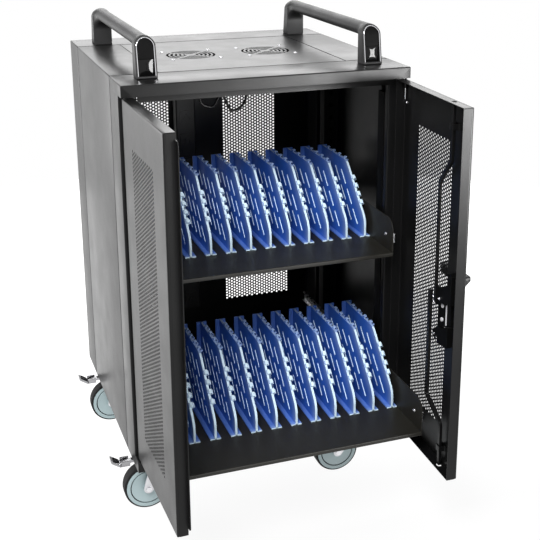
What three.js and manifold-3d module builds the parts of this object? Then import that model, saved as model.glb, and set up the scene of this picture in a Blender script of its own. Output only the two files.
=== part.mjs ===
// Laptop charging cart: a steel cabinet on four castors, with two open doors, two pull-out trays of
// upright dividers, two top fans and a push handle along each side of the top.
// Millimetres. X runs to the right, Y to the back, Z up. While it is built, the cabinet's front face
// is at y = 0 and the floor at z = 0.
import * as THREE from 'three';
import { mergeVertices } from 'three/addons/utils/BufferGeometryUtils.js';
import Module from 'manifold-3d';

const wasm = await Module();
wasm.setup();

// Sheet metal and fits
const sheet = 1.5;
const seamGap = 0.6;
const fitGap = 0.3;
const seamFlange = 14;

// Cabinet
const cabinetWidth = 600;
const cabinetDepth = 600;
const cabinetHeight = 818;
const frontFrameDepth = 112;
const rearFrameDepth = 105;
const headerHeight = 23.5;
const sillHeight = 25;
const jambSetback = 30;
const jambWidth = 36;
const jambReturn = 14;
const stopDrop = 16;
const stopGap = 2;
const fanPanelWidth = 406;
const rearPanelRecess = 2;
const rearPanelFlange = 12;
const inletWidth = 50;
const inletHeight = 30;
const inletDepth = 24;
const inletSideWall = 6;
const inletEndWall = 4.5;
const inletLeft = 200;
const inletRise = 60;

// Ventilated fields of the doors and of the rear panel: the fine holes as a plain grid of openings
const ventShare = 0.66;
const doorVentColumns = 6;
const doorVentRows = 10;
const doorVentFree = 75;
const doorVentHinge = 69;
const doorVentLow = 78.5;
const doorVentHigh = 81;
const rearVentColumns = 4;
const rearVentRows = 4;
const rearVentMiddle = 147;
const rearVentLow = 105;
const rearVentHigh = 105.5;
const rearVentGap = 28;
const rearVentLowerSide = 57;
const rearVentUpperSide = 92;

// Fans and their lead
const fanSize = 120;
const fanDepth = 25;
const fanSpacing = 171;
const fanFromFront = 300;
const fanBore = 57;
const fanHubRadius = 19;
const fanStatorHeight = 6;
const fanStrutWidth = 6;
const fanBladeCount = 7;
const fanBladeChord = 19;
const fanBladeThickness = 1.6;
const fanBladePitch = 38;
const fanTipGap = 3;
const grilleRings = 5;
const grilleInner = 12;
const grilleSlot = 5;
const grilleRib = 4.2;
const grilleSpoke = 6;
const leadRadius = 3;
const leadCorner = 10;
const leadLoopOut = 16;
const leadStraight = 12;
const leadShallow = 103;
const leadDeep = 115;
const leadSides = 6;
const leadSteps = 26;

// Push handles
const handleInset = 63;
const handleFront = 50;
const handleLength = 500;
const handleHeight = 82;
const tubeRadius = 14;
const postWidth = 42;
const postFoot = 33;
const postLean = 16;

// Doors
const doorThickness = 22;
const doorTopGap = 3;
const doorBottomGap = 3;
const doorSideGap = 1.5;
const meetingGap = 1;
const hingeInset = 7.5;
const hingeSetback = 5;
const pinRadius = 2.5;
const pinHoleGap = 0.4;
const pinReach = 6;
const doorOpenAngle = 88.5;
const stripInside = 12;
const stripOutside = 13;
const stripEnd = 14;

// Lock on the right door, measured from its free edge and from the top of the cabinet
const caseNear = 24.5;
const caseFar = 140.5;
const caseTopDrop = 362;
const caseHeight = 155;
const caseDepth = 17;
const spindleAlong = 38.5;
const spindleDrop = 377;
const spindleRadius = 6;
const spindleGap = 0.4;
const roseRadius = 16;
const roseHeight = 3;
const leverLength = 100;
const leverTail = 20;
const leverReach = 18;
const leverHeight = 26;
const upperRodAtCase = 103;
const lowerRodAtCase = 126;
const rodAtEnd = 58.5;
const rodWidth = 8;
const rodDepth = 6;
const rodSetback = 8;
const rodHoleGap = 0.4;
const rodShort = 2;
const upperJogDrop = 194;
const upperJogRise = 55;
const lowerJogRise = 130;
const lowerJogFall = 35;

// Trays and slides
const upperTrayRise = 431;
const lowerTrayRise = 93;
const upperTrayOut = 65;
const lowerTrayOut = 225;
const trayInset = 30;
const traySpare = 25;
const hemHeight = 8.5;
const hemThickness = 4;
const cheekHeight = 72;
const cheekCorner = 28;
const trayBackRise = 20;
const slideThickness = 7;
const slideHeight = 20;
const slideRise = 20;
const slideInset = 6;
const channelWall = 2;
const channelReach = 5;
const rackPostWidth = 35.2;
const rackPostDepth = 30;
const rackPostFront = 48;
const rackPostRearGap = 15;
const rackPostShort = 60;

// Dividers
const dividerCount = 11;
const dividerLength = 260;
const dividerHeight = 148;
const dividerThickness = 5;
const dividerSetback = 115;
const dividerFront = 40;
const dividerFirstBay = 42;
const dividerFrontRound = 40;
const dividerTopRound = 25;
const footWidth = 23;
const footThickness = 3;
const footGap = 1;
const flangeThickness = 4;
const hookCount = 4;
const hookFirst = 124;
const hookRearGap = 37;
const hookLength = 12;
const hookDepth = 9;
const hookFinger = 3;
const hookMouth = 5;
const knobCount = 4;
const knobFirst = 46;
const knobPitch = 21;
const knobWidth = 10;
const knobHeight = 5;
const slotRows = 3;
const slotColumns = 6;
const slotFirst = 63;
const slotRearGap = 22;
const slotRowPitch = 37;
const slotLowest = 20;
const slotRun = 25;
const slotWidth = 4;

// Castors
const wheelRadius = 52;
const wheelWidth = 36;
const wheelSides = 20;
const wheelBoreGap = 0.4;
const wheelFace = 38;
const wheelFaceRecess = 3;
const tyreShoulder = 4;
const castorTrail = 44;
const castorInset = 78;
const castorSetback = 92;
const axleRadius = 5;
const legThickness = 4;
const legGap = 2;
const legBoss = 11;
const crownHeadroom = 6;
const crownHeight = 12;
const crownFront = 22;
const crownRear = 36;
const bearingRadius = 28;
const bearingHeight = 8;
const padHeight = 5.7;
const padLength = 100;
const padWidth = 86;
const pedalPivot = 46;
const pedalReach = 121;
const pedalWidth = 26;
const pedalThickness = 7;
const pedalRise = 7;
const pedalHeel = 6;
const pedalPinRadius = 2.5;
const pedalPinGap = 0.6;
const pedalEarGap = 0.4;
const pedalEarThickness = 4;
const pedalEarReach = 9;

// Power strip
const stripCentre = -35;
const stripWidth = 50;
const stripDepth = 34;
const stripLength = 600;
const stripRise = 110;
const socketCount = 10;
const socketSize = 30;
const socketProud = 2;

// Heights and half widths that follow from the above
const castorHeight = 2 * wheelRadius + crownHeadroom + crownHeight + bearingHeight + fitGap + padHeight;
const halfWidth = cabinetWidth / 2;
const bottom = castorHeight;
const top = bottom + cabinetHeight;
const floorTop = bottom + sheet;
const sideFoot = floorTop + fitGap;
const headerBottom = top - headerHeight;
const sillTop = bottom + sillHeight;
const frontSeam = frontFrameDepth;
const rearSeam = cabinetDepth - rearFrameDepth;
const seamHalf = seamGap / 2;
const fanHalf = fanPanelWidth / 2;
const rackPostOuter = halfWidth - sheet - fitGap;
const rackPostInner = rackPostOuter - rackPostWidth;
const channelOuter = rackPostInner + fitGap;
const slideOuter = channelOuter - channelWall - fitGap;
const trayHalf = slideOuter - slideThickness;
const trayDepth = dividerSetback + dividerLength + traySpare;
const doorTop = headerBottom - doorTopGap;
const doorBottom = sillTop + doorBottomGap;
const doorOuter = halfWidth - doorSideGap;
const doorInner = meetingGap / 2;
const pinX = doorOuter - hingeInset;
const pinY = hingeSetback;

// Materials
function finish(color, roughness, metalness) {
  return new THREE.MeshStandardMaterial({ color, roughness, metalness });
}
const blackSteel = finish(0x2b2d30, 0.45, 0.3);
const handleBlack = finish(0x3a3c3f, 0.4, 0.2);
const fanPlastic = finish(0x1a1b1d, 0.5, 0);
const dividerBlue = finish(0x2f62c8, 0.4, 0);
const zincSteel = finish(0xb9bcc0, 0.3, 0.9);
const wheelGrey = finish(0x9aa3ad, 0.55, 0);
const cableBlack = finish(0x141414, 0.6, 0);

// A three.js geometry as a manifold solid
function solid(geometry) {
  const bare = geometry.clone();
  bare.deleteAttribute('normal');
  bare.deleteAttribute('uv');
  const merged = mergeVertices(bare, 1e-4);
  const mesh = new wasm.Mesh({
    numProp: 3,
    vertProperties: new Float32Array(merged.attributes.position.array),
    triVerts: new Uint32Array(merged.index.array),
  });
  mesh.merge();
  return new wasm.Manifold(mesh);
}

// A box between two opposite corners, given in any order along each axis
function block(x0, x1, y0, y1, z0, z1) {
  const box = new THREE.BoxGeometry(Math.abs(x1 - x0), Math.abs(y1 - y0), Math.abs(z1 - z0));
  return solid(box.translate((x0 + x1) / 2, (y0 + y1) / 2, (z0 + z1) / 2));
}

// A round bar along one axis, from one end to the other, turned so that a flat faces down
function bar(axis, radius, sides, centre, from, to) {
  const cylinder = new THREE.CylinderGeometry(radius, radius, Math.abs(to - from), sides);
  cylinder.rotateY(Math.PI / sides);
  if (axis === 'x') cylinder.rotateZ(Math.PI / 2);
  if (axis === 'z') cylinder.rotateX(Math.PI / 2);
  const middle = (from + to) / 2;
  if (axis === 'x') cylinder.translate(middle, centre[0], centre[1]);
  if (axis === 'y') cylinder.translate(centre[0], middle, centre[1]);
  if (axis === 'z') cylinder.translate(centre[0], centre[1], middle);
  return solid(cylinder);
}

// A flat outline with holes, extruded along X, Y or Z. Points are (y, z), (x, z) or (x, y).
function extrude(axis, outline, from, to, holes = []) {
  const shape = new THREE.Shape(outline.map(([a, b]) => new THREE.Vector2(a, b)));
  shape.holes = holes.map((hole) => new THREE.Path(hole.map(([a, b]) => new THREE.Vector2(a, b))));
  const geometry = new THREE.ExtrudeGeometry(shape, { depth: Math.abs(to - from), bevelEnabled: false });
  const low = Math.min(from, to);
  const [ex, ey, ez] = [new THREE.Vector3(1, 0, 0), new THREE.Vector3(0, 1, 0), new THREE.Vector3(0, 0, 1)];
  const turn = new THREE.Matrix4();
  if (axis === 'x') turn.makeBasis(ey, ez, ex).setPosition(low, 0, 0);
  if (axis === 'y') turn.makeBasis(ex, ez, ey.clone().negate()).setPosition(0, Math.max(from, to), 0);
  if (axis === 'z') turn.makeBasis(ex, ey, ez).setPosition(0, 0, low);
  return solid(geometry.applyMatrix4(turn));
}

// Points of an arc about a centre, both ends included
function arc(centre, radius, fromDegrees, toDegrees, steps) {
  return Array.from({ length: steps + 1 }, (_, i) => {
    const angle = THREE.MathUtils.degToRad(fromDegrees + ((toDegrees - fromDegrees) * i) / steps);
    return [centre[0] + radius * Math.cos(angle), centre[1] + radius * Math.sin(angle)];
  });
}

// The outline of a flat bar of even width that follows a bent line, mitred at its bends
function ribbon(points, width) {
  const ends = points.length - 1;
  const direction = (i) => new THREE.Vector2(
    points[i + 1][0] - points[i][0],
    points[i + 1][1] - points[i][1],
  ).normalize();
  const offset = points.map((_, i) => {
    const before = direction(Math.max(i - 1, 0));
    const after = direction(Math.min(i, ends - 1));
    const across = new THREE.Vector2(-before.y - after.y, before.x + after.x).normalize();
    return across.multiplyScalar(width / 2 / (across.x * -after.y + across.y * after.x));
  });
  const left = points.map(([a, b], i) => [a + offset[i].x, b + offset[i].y]);
  const right = points.map(([a, b], i) => [a - offset[i].x, b - offset[i].y]);
  return [...right, ...left.reverse()];
}

const join = (solids) => solids.reduce((sum, next) => sum.add(next));

const cart = new THREE.Group();
cart.name = 'laptop_charging_cart';

// A named mesh from a manifold solid
function place(name, shape, material, parent = cart) {
  const mesh = shape.getMesh();
  const geometry = new THREE.BufferGeometry();
  geometry.setAttribute('position', new THREE.BufferAttribute(new Float32Array(mesh.vertProperties), 3));
  geometry.setIndex(new THREE.BufferAttribute(new Uint32Array(mesh.triVerts), 1));
  geometry.computeVertexNormals();
  const piece = new THREE.Mesh(geometry, material);
  piece.name = name;
  parent.add(piece);
}

const sides = [['left', -1], ['right', 1]];
const castorPivots = [
  ['front_left', -1, castorSetback],
  ['front_right', 1, castorSetback],
  ['rear_left', -1, cabinetDepth - castorSetback],
  ['rear_right', 1, cabinetDepth - castorSetback],
].map(([name, side, y]) => [name, side * (halfWidth - castorInset), y]);

const pinHole = (side, z0, z1) => bar('z', pinRadius + pinHoleGap, 12, [side * pinX, pinY], z0, z1);

// Base pan with the front sill and the castor pads
function basePan() {
  const sillReturn = jambSetback - fitGap;
  const pieces = [
    block(-halfWidth, halfWidth, 0, cabinetDepth, bottom, floorTop),
    block(-halfWidth, halfWidth, 0, sheet, bottom, sillTop),
    block(-halfWidth, halfWidth, 0, sillReturn, sillTop - sheet, sillTop),
  ];
  for (const [, side] of sides) {
    pieces.push(block(side * halfWidth, side * (halfWidth - sheet), 0, sillReturn, bottom, sillTop));
  }
  for (const [, x, y] of castorPivots) {
    const [dx, dy] = [padLength / 2, padWidth / 2];
    pieces.push(block(x - dx, x + dx, y - dy, y + dy, bottom - padHeight, floorTop));
  }
  const holes = sides.map(([, side]) => pinHole(side, floorTop, sillTop + sheet));
  return join(pieces).subtract(join(holes));
}

// Front frame: header with its return and door stop, side strips and jambs
function frontFrame() {
  const rear = frontSeam - seamHalf;
  const returnDepth = jambSetback + sheet;
  const stop = doorThickness + stopGap;
  const opening = halfWidth - jambWidth;
  const pieces = [
    block(-halfWidth, halfWidth, 0, rear, top - sheet, top),
    block(-halfWidth, halfWidth, 0, sheet, headerBottom, top),
    block(-halfWidth, halfWidth, 0, returnDepth, headerBottom, headerBottom + sheet),
    block(-opening, opening, stop, stop + sheet, headerBottom - stopDrop, headerBottom + sheet),
    block(-halfWidth, halfWidth, rear - sheet, rear, top - seamFlange, top),
  ];
  for (const [, side] of sides) {
    const [outer, inner] = [side * halfWidth, side * (halfWidth - sheet)];
    pieces.push(
      block(outer, inner, 0, returnDepth, headerBottom, top),
      block(outer, inner, jambSetback, rear, sideFoot, top),
      block(outer, side * opening, jambSetback, returnDepth, sideFoot, headerBottom + sheet),
      block(side * opening, side * (opening + sheet), jambSetback, jambSetback + jambReturn,
        sideFoot, headerBottom + sheet),
      block(outer, side * (halfWidth - seamFlange), rear - sheet, rear, sideFoot, top),
    );
  }
  const holes = sides.map(([, side]) => pinHole(side, headerBottom - sheet, top - 2 * sheet));
  return join(pieces).subtract(join(holes));
}

// Side panel with its return on the top, folded in along every seam
function sidePanel(side) {
  const [front, rear] = [frontSeam + seamHalf, rearSeam - seamHalf];
  const outer = side * halfWidth;
  const edge = side * (fanHalf + seamHalf);
  const pieces = [
    block(outer, outer - side * sheet, front, rear, sideFoot, top),
    block(outer, edge, front, rear, top - sheet, top),
    block(edge, edge + side * sheet, front, rear, top - seamFlange, top),
  ];
  for (const [y0, y1] of [[front, front + sheet], [rear - sheet, rear]]) {
    pieces.push(
      block(outer, outer - side * seamFlange, y0, y1, sideFoot, top),
      block(outer, edge, y0, y1, top - seamFlange, top),
    );
  }
  return join(pieces);
}

// Rear frame: the ring that the rear panel closes
function rearFrame() {
  const front = rearSeam + seamHalf;
  const pieces = [
    block(-halfWidth, halfWidth, front, cabinetDepth, top - sheet, top),
    block(-halfWidth, halfWidth, front, front + sheet, top - seamFlange, top),
  ];
  for (const [, side] of sides) {
    const outer = side * halfWidth;
    pieces.push(
      block(outer, outer - side * sheet, front, cabinetDepth, sideFoot, top),
      block(outer, outer - side * seamFlange, front, front + sheet, sideFoot, top),
    );
  }
  return join(pieces);
}

// A ventilated field: a grid of openings, as wide and high as the share of its pitch that is open
function ventField([x0, x1], [z0, z1], columns, rows, y0, y1) {
  const [pitchX, pitchZ] = [(x1 - x0) / columns, (z1 - z0) / rows];
  const [halfX, halfZ] = [(pitchX * ventShare) / 2, (pitchZ * ventShare) / 2];
  const openings = [];
  for (let column = 0; column < columns; column += 1) {
    for (let row = 0; row < rows; row += 1) {
      const [x, z] = [x0 + (column + 0.5) * pitchX, z0 + (row + 0.5) * pitchZ];
      openings.push(block(x - halfX, x + halfX, y0, y1, z - halfZ, z + halfZ));
    }
  }
  return join(openings);
}

// Rear panel: a shallow pan with four ventilated fields and the mains inlet in its lower left corner
function rearPanel() {
  const half = halfWidth - sheet - fitGap;
  const [low, high] = [sideFoot, top - sheet - fitGap];
  const outer = cabinetDepth - rearPanelRecess;
  const inner = outer - sheet;
  const pan = block(-half, half, outer, outer - rearPanelFlange, low, high)
    .subtract(block(-half + sheet, half - sheet, inner, outer - 2 * rearPanelFlange,
      low + sheet, high - sheet));
  const [x, z] = [-inletLeft, low + inletRise];
  const [dx, dz] = [inletWidth / 2, inletHeight / 2];
  const body = block(x - dx, x + dx, outer, outer - inletDepth, z - dz, z + dz);
  const [pocketX, pocketZ] = [dx - inletSideWall, dz - inletEndWall];
  const pocket = block(x - pocketX, x + pocketX, outer + sheet, outer - inletDepth + 2 * sheet,
    z - pocketZ, z + pocketZ);
  const ventLow = low + rearVentLow;
  const ventHigh = high - rearVentHigh;
  const ventMiddle = (ventLow + ventHigh) / 2;
  const levels = [
    [[ventLow, ventMiddle - rearVentGap / 2], rearVentLowerSide],
    [[ventMiddle + rearVentGap / 2, ventHigh], rearVentUpperSide],
  ];
  const vents = levels.flatMap(([level, fromSide]) => sides.map(([, side]) => ventField(
    [(side * rearVentMiddle) / 2, side * (half - fromSide)], level, rearVentColumns, rearVentRows,
    outer + sheet, inner - sheet,
  )));
  return pan.subtract(join(vents)).add(body).subtract(pocket);
}

const fanCentres = sides.map(([name, side]) => [name, (side * fanSpacing) / 2]);

// The ring slots of one fan grille, each broken by four diagonal spokes
function grilleSlots(x) {
  return Array.from({ length: grilleRings }, (_, ring) => {
    const inner = grilleInner + ring * (grilleSlot + grilleRib);
    const outer = inner + grilleSlot;
    const steps = ring < 2 ? 2 : 3;
    return [0, 90, 180, 270].map((quarter) => {
      const half = 45 - THREE.MathUtils.radToDeg(Math.asin(grilleSpoke / 2 / inner));
      const rim = arc([x, fanFromFront], outer, quarter - half, quarter + half, steps);
      return [...rim, ...arc([x, fanFromFront], inner, quarter + half, quarter - half, steps)];
    });
  }).flat();
}

// Fan panel: the middle of the top, folded down along its four seams
function fanPanel() {
  const half = fanHalf - seamHalf;
  const [front, rear] = [frontSeam + seamHalf, rearSeam - seamHalf];
  const pan = block(-half, half, front, rear, top - seamFlange, top)
    .subtract(block(-half + sheet, half - sheet, front + sheet, rear - sheet,
      top - 2 * seamFlange, top - sheet));
  const slots = fanCentres
    .flatMap(([, x]) => grilleSlots(x))
    .map((slot) => extrude('z', slot, top - 2 * sheet, top + sheet));
  return pan.subtract(join(slots));
}

const fanTop = top - sheet - fitGap;
const fanBottom = fanTop - fanDepth;
const statorTop = fanBottom + fanStatorHeight;

// Fan housing: a square frame with four diagonal struts that carry the stator
function fanHousing(x) {
  const half = fanSize / 2;
  const frame = block(x - half, x + half, fanFromFront - half, fanFromFront + half, fanBottom, fanTop)
    .subtract(bar('z', fanBore, 28, [x, fanFromFront], fanBottom - sheet, fanTop + sheet));
  const struts = [45, 135].map((degrees) => {
    const strut = new THREE.BoxGeometry(2 * fanBore + fanStrutWidth, fanStrutWidth, fanStatorHeight);
    strut.rotateZ(THREE.MathUtils.degToRad(degrees));
    return solid(strut.translate(x, fanFromFront, fanBottom + fanStatorHeight / 2));
  });
  return join([frame, ...struts, bar('z', fanHubRadius, 16, [x, fanFromFront], fanBottom, statorTop)]);
}

// Fan rotor about its own axis: hub and pitched blades
function fanRotor() {
  const low = statorTop + fitGap;
  const high = fanTop - fanTipGap;
  const blades = Array.from({ length: fanBladeCount }, (_, i) => {
    const span = fanBore - fanTipGap - fanHubRadius / 2;
    const blade = new THREE.BoxGeometry(span, fanBladeChord, fanBladeThickness);
    blade.rotateX(THREE.MathUtils.degToRad(fanBladePitch));
    blade.translate((fanHubRadius / 2 + fanBore - fanTipGap) / 2, 0, (low + high) / 2);
    return solid(blade.rotateZ((2 * Math.PI * i) / fanBladeCount));
  });
  return join([bar('z', fanHubRadius, 16, [0, 0], low, high), ...blades]);
}

// The lead between the fans hangs in one shallow and one deep loop. Its points are shares of how far
// the ends stand from the middle and of the loops' depths.
function fanLead() {
  const end = fanSpacing / 2 - fanSize / 2 + leadCorner;
  const y = fanFromFront + fanSize / 2 - leadCorner;
  const start = fanBottom - fitGap;
  const out = end + leadLoopOut;
  const points = [
    [-end, start],
    [-end, start - leadStraight],
    [-out, start - leadShallow / 2],
    [-out, start - 0.9 * leadShallow],
    [-0.7 * end, start - leadShallow],
    [-0.1 * end, start - 0.75 * leadShallow],
    [0.6 * end, start - leadDeep],
    [out, start - 0.85 * leadDeep],
    [out, start - leadDeep / 2],
    [end, start - leadStraight],
    [end, start],
  ].map(([x, z]) => new THREE.Vector3(x, y, z));
  const path = new THREE.CatmullRomCurve3(points);
  const rim = arc([0, 0], leadRadius, 0, 360 - 360 / leadSides, leadSides - 1);
  const circle = new THREE.Shape(rim.map(([a, b]) => new THREE.Vector2(a, b)));
  const options = { steps: leadSteps, bevelEnabled: false, extrudePath: path };
  return solid(new THREE.ExtrudeGeometry(circle, options));
}

// Push handle: a tube between two posts that lean in and end in a round shoulder
function pushHandle(side) {
  const x = side * (halfWidth - handleInset);
  const [tubeZ, crest] = [top + handleHeight - tubeRadius, top + handleHeight];
  const half = postWidth / 2;
  const [front, rear] = [handleFront, handleFront + handleLength];
  const shoulder = crest - half;
  const face = [[x - half, top], [x + half, top], ...arc([x, shoulder], half, 0, 180, 10)];
  const posts = [[front, 1], [rear, -1]].map(([foot, inward]) => {
    const at = (distance, z) => [foot + inward * distance, z];
    const bend = tubeRadius;
    const outline = [
      at(0, top),
      at(postFoot, top),
      at(postFoot, tubeZ - 2 * tubeRadius),
      at(postFoot + bend / 2, tubeZ - tubeRadius),
      at(postFoot + bend, tubeZ - tubeRadius),
      at(postFoot + bend, crest),
      at(postLean + bend, crest),
      at(postLean + bend / 3, crest - bend / 3),
      at(postLean - bend / 3, crest - bend),
    ];
    const profile = extrude('x', inward > 0 ? outline : outline.reverse(), x - half, x + half);
    return profile.intersect(extrude('y', face, foot, foot + inward * (postFoot + bend)));
  });
  const reach = postFoot / 2;
  const tube = bar('y', tubeRadius, 16, [x, tubeZ], front + postLean + reach, rear - postLean - reach);
  return join([...posts, tube]);
}

// Slide carrier: two rack posts with the fixed slide members of both trays
const trayTops = { upper: bottom + upperTrayRise, lower: bottom + lowerTrayRise };

function slideCarrier(side) {
  const web = side * (slideOuter + fitGap);
  const outer = side * channelOuter;
  const [front, rear] = [trayInset + slideInset, trayInset + trayDepth];
  const [postInner, postOuter] = [side * rackPostInner, side * rackPostOuter];
  const pieces = [rackPostFront, rear - rackPostRearGap - rackPostDepth].map(
    (y) => block(postInner, postOuter, y, y + rackPostDepth, sideFoot, top - rackPostShort),
  );
  for (const level of Object.values(trayTops)) {
    const low = level + slideRise - fitGap;
    const high = level + slideRise + slideHeight + fitGap;
    const lip = outer - side * (channelWall + fitGap + channelReach);
    pieces.push(
      block(web, outer, front, rear, low - channelWall, high + channelWall),
      block(lip, outer, front, rear, low - channelWall, low),
      block(lip, outer, front, rear, high, high + channelWall),
    );
  }
  return join(pieces);
}

// Door pan with its ventilated field and hinge pins, closed; the left one also has the overlap strip
function doorPan(side) {
  const [outer, inner] = [side * doorOuter, side * doorInner];
  const pan = block(outer, inner, 0, doorThickness, doorBottom, doorTop)
    .subtract(block(outer - side * sheet, inner + side * sheet, sheet, doorThickness + sheet,
      doorBottom + sheet, doorTop - sheet));
  const pins = [[doorTop - sheet, doorTop + pinReach], [doorBottom + sheet, doorBottom - pinReach]]
    .map(([z0, z1]) => bar('z', pinRadius, 12, [side * pinX, pinY], z0, z1));
  const vent = ventField(
    [inner + side * doorVentFree, outer - side * doorVentHinge],
    [doorBottom + doorVentLow, doorTop - doorVentHigh],
    doorVentColumns, doorVentRows, -sheet, 2 * sheet,
  );
  return join([pan.subtract(vent), ...pins]);
}

const overlapStrip = () => block(-doorInner - stripInside, -doorInner + stripOutside,
  doorThickness - fitGap, doorThickness + sheet, doorBottom + stripEnd, doorTop - stripEnd);

const alongDoor = (distance) => doorInner + distance;
const caseTop = top - caseTopDrop;
const caseBottom = caseTop - caseHeight;
const spindleZ = top - spindleDrop;
const rodMiddle = rodSetback + rodDepth / 2;

// The lock's cut-outs in the right door, and the rose on its outer face
function lockDoor(pan) {
  const x = alongDoor(spindleAlong);
  const hole = spindleRadius + spindleGap;
  const reach = rodWidth / 2 + rodHoleGap;
  const rodX = alongDoor(rodAtEnd);
  const rodSlot = (z) => block(rodX - reach, rodX + reach, rodSetback - rodHoleGap,
    rodSetback + rodDepth + rodHoleGap, z - 2 * sheet, z + 2 * sheet);
  return pan
    .add(bar('y', roseRadius, 24, [x, spindleZ], -roseHeight, sheet))
    .subtract(bar('y', hole, 16, [x, spindleZ], -roseHeight - sheet, 2 * sheet))
    .subtract(rodSlot(doorTop))
    .subtract(rodSlot(doorBottom));
}

// Lock case behind the door's sheet, bored for the spindle
function lockCase() {
  const back = sheet + fitGap;
  const hole = bar('y', spindleRadius + spindleGap, 16, [alongDoor(spindleAlong), spindleZ], 0, caseDepth);
  const box = block(alongDoor(caseNear), alongDoor(caseFar), back, back + caseDepth, caseBottom, caseTop);
  return box.subtract(hole);
}

// Swing lever about its spindle, with a grip whose underside slants outwards
function lockLever() {
  const seat = roseHeight + fitGap;
  const front = seat + leverReach;
  const half = leverHeight / 2;
  const grip = [[-seat, -half], [-seat, half], [-front, half], [-front, half - leverReach / 2]];
  return join([
    extrude('x', grip, -leverTail, leverLength - leverTail),
    bar('y', spindleRadius, 16, [0, 0], -front + sheet, caseDepth - 2 * sheet),
  ]);
}

// Lock rods, each with one bend towards the free edge of the door
function lockRod(ends) {
  const outline = ribbon(ends.map(([distance, z]) => [alongDoor(distance), z]), rodWidth);
  return extrude('y', outline, rodMiddle - rodDepth / 2, rodMiddle + rodDepth / 2);
}

const upperRod = () => lockRod([
  [upperRodAtCase, caseTop + fitGap],
  [upperRodAtCase, top - upperJogDrop],
  [rodAtEnd, top - upperJogDrop + upperJogRise],
  [rodAtEnd, doorTop - rodShort],
]);
const lowerRod = () => lockRod([
  [lowerRodAtCase, caseBottom - fitGap],
  [lowerRodAtCase, doorBottom + lowerJogRise],
  [rodAtEnd, doorBottom + lowerJogRise - lowerJogFall],
  [rodAtEnd, doorBottom + rodShort],
]);

// Tray with its cheeks and moving slide members; y = 0 is its front edge and z = 0 its surface
function tray() {
  const corner = arc([cheekCorner, cheekHeight - cheekCorner], cheekCorner, 90, 180, 4);
  const cheek = [[0, -sheet], [trayDepth, -sheet], [trayDepth, cheekHeight], ...corner];
  const pieces = [
    block(-trayHalf, trayHalf, 0, trayDepth, -sheet, 0),
    block(-trayHalf, trayHalf, 0, hemThickness, -hemHeight, 0),
    block(-trayHalf, trayHalf, trayDepth - sheet, trayDepth, -sheet, trayBackRise),
  ];
  for (const [, side] of sides) {
    pieces.push(
      extrude('x', cheek, side * trayHalf, side * (trayHalf - sheet)),
      block(side * (trayHalf - sheet), side * slideOuter, slideInset, trayDepth,
        slideRise, slideRise + slideHeight),
    );
  }
  return join(pieces);
}

// Divider: a slotted plate with a foot and a rear flange; y = 0 is its front and z = 0 the tray
function divider() {
  const chamfer = dividerHeight - dividerFront;
  const hookPitch = (dividerLength - hookFirst - hookRearGap) / (hookCount - 1);
  const slotColumnPitch = (dividerLength - slotFirst - slotRearGap) / (slotColumns - 1);
  const hooks = Array.from({ length: hookCount }, (_, i) => {
    const [y, z] = [hookFirst + (hookCount - 1 - i) * hookPitch, dividerHeight];
    return [
      [y + hookLength / 2, z],
      [y + hookLength / 2, z - hookDepth],
      [y - hookLength / 2, z - hookDepth],
      [y - hookLength / 2, z - hookFinger],
      [y + hookLength / 2 - hookMouth, z - hookFinger],
      [y + hookLength / 2 - hookMouth, z],
    ];
  }).flat();
  const slope = Math.SQRT1_2;
  const onChamfer = (along, proud) => [
    chamfer - (along + proud) * slope,
    dividerHeight - (along - proud) * slope,
  ];
  const knobs = Array.from({ length: knobCount }, (_, i) => {
    const middle = knobFirst + i * knobPitch;
    const half = knobWidth / 2;
    return [
      onChamfer(middle - half, 0),
      onChamfer(middle - half, knobHeight),
      onChamfer(middle + half, knobHeight),
      onChamfer(middle + half, 0),
    ];
  }).flat();
  const tangent = Math.tan(Math.PI / 8);
  const topRound = arc(
    [chamfer + dividerTopRound * tangent, dividerHeight - dividerTopRound], dividerTopRound, 90, 135, 3,
  );
  const frontRound = arc(
    [dividerFrontRound, dividerFront - dividerFrontRound * tangent], dividerFrontRound, 135, 180, 3,
  );
  const outline = [[0, 0], [dividerLength, 0], [dividerLength, dividerHeight], ...hooks,
    ...topRound, ...knobs, ...frontRound];
  const slots = [];
  for (let row = 0; row < slotRows; row += 1) {
    for (let column = row; column < slotColumns; column += 1) {
      const upper = [slotFirst + column * slotColumnPitch, slotLowest + row * slotRowPitch + slotRun];
      slots.push(ribbon([upper, [upper[0] - slotRun, upper[1] - slotRun]], slotWidth));
    }
  }
  const half = footWidth / 2;
  return join([
    extrude('x', outline, -dividerThickness / 2, dividerThickness / 2, slots),
    block(-half, half, 0, dividerLength, 0, footThickness),
    block(-half, half, dividerLength - flangeThickness, dividerLength, 0, dividerHeight),
  ]);
}

// Castor fork about its swivel axis: bearing, crown with the pedal's ears, legs and axle
const crownLow = 2 * wheelRadius + crownHeadroom;
const crownHigh = crownLow + crownHeight;
const pedalZ = crownLow + crownHeight / 2;

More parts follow.
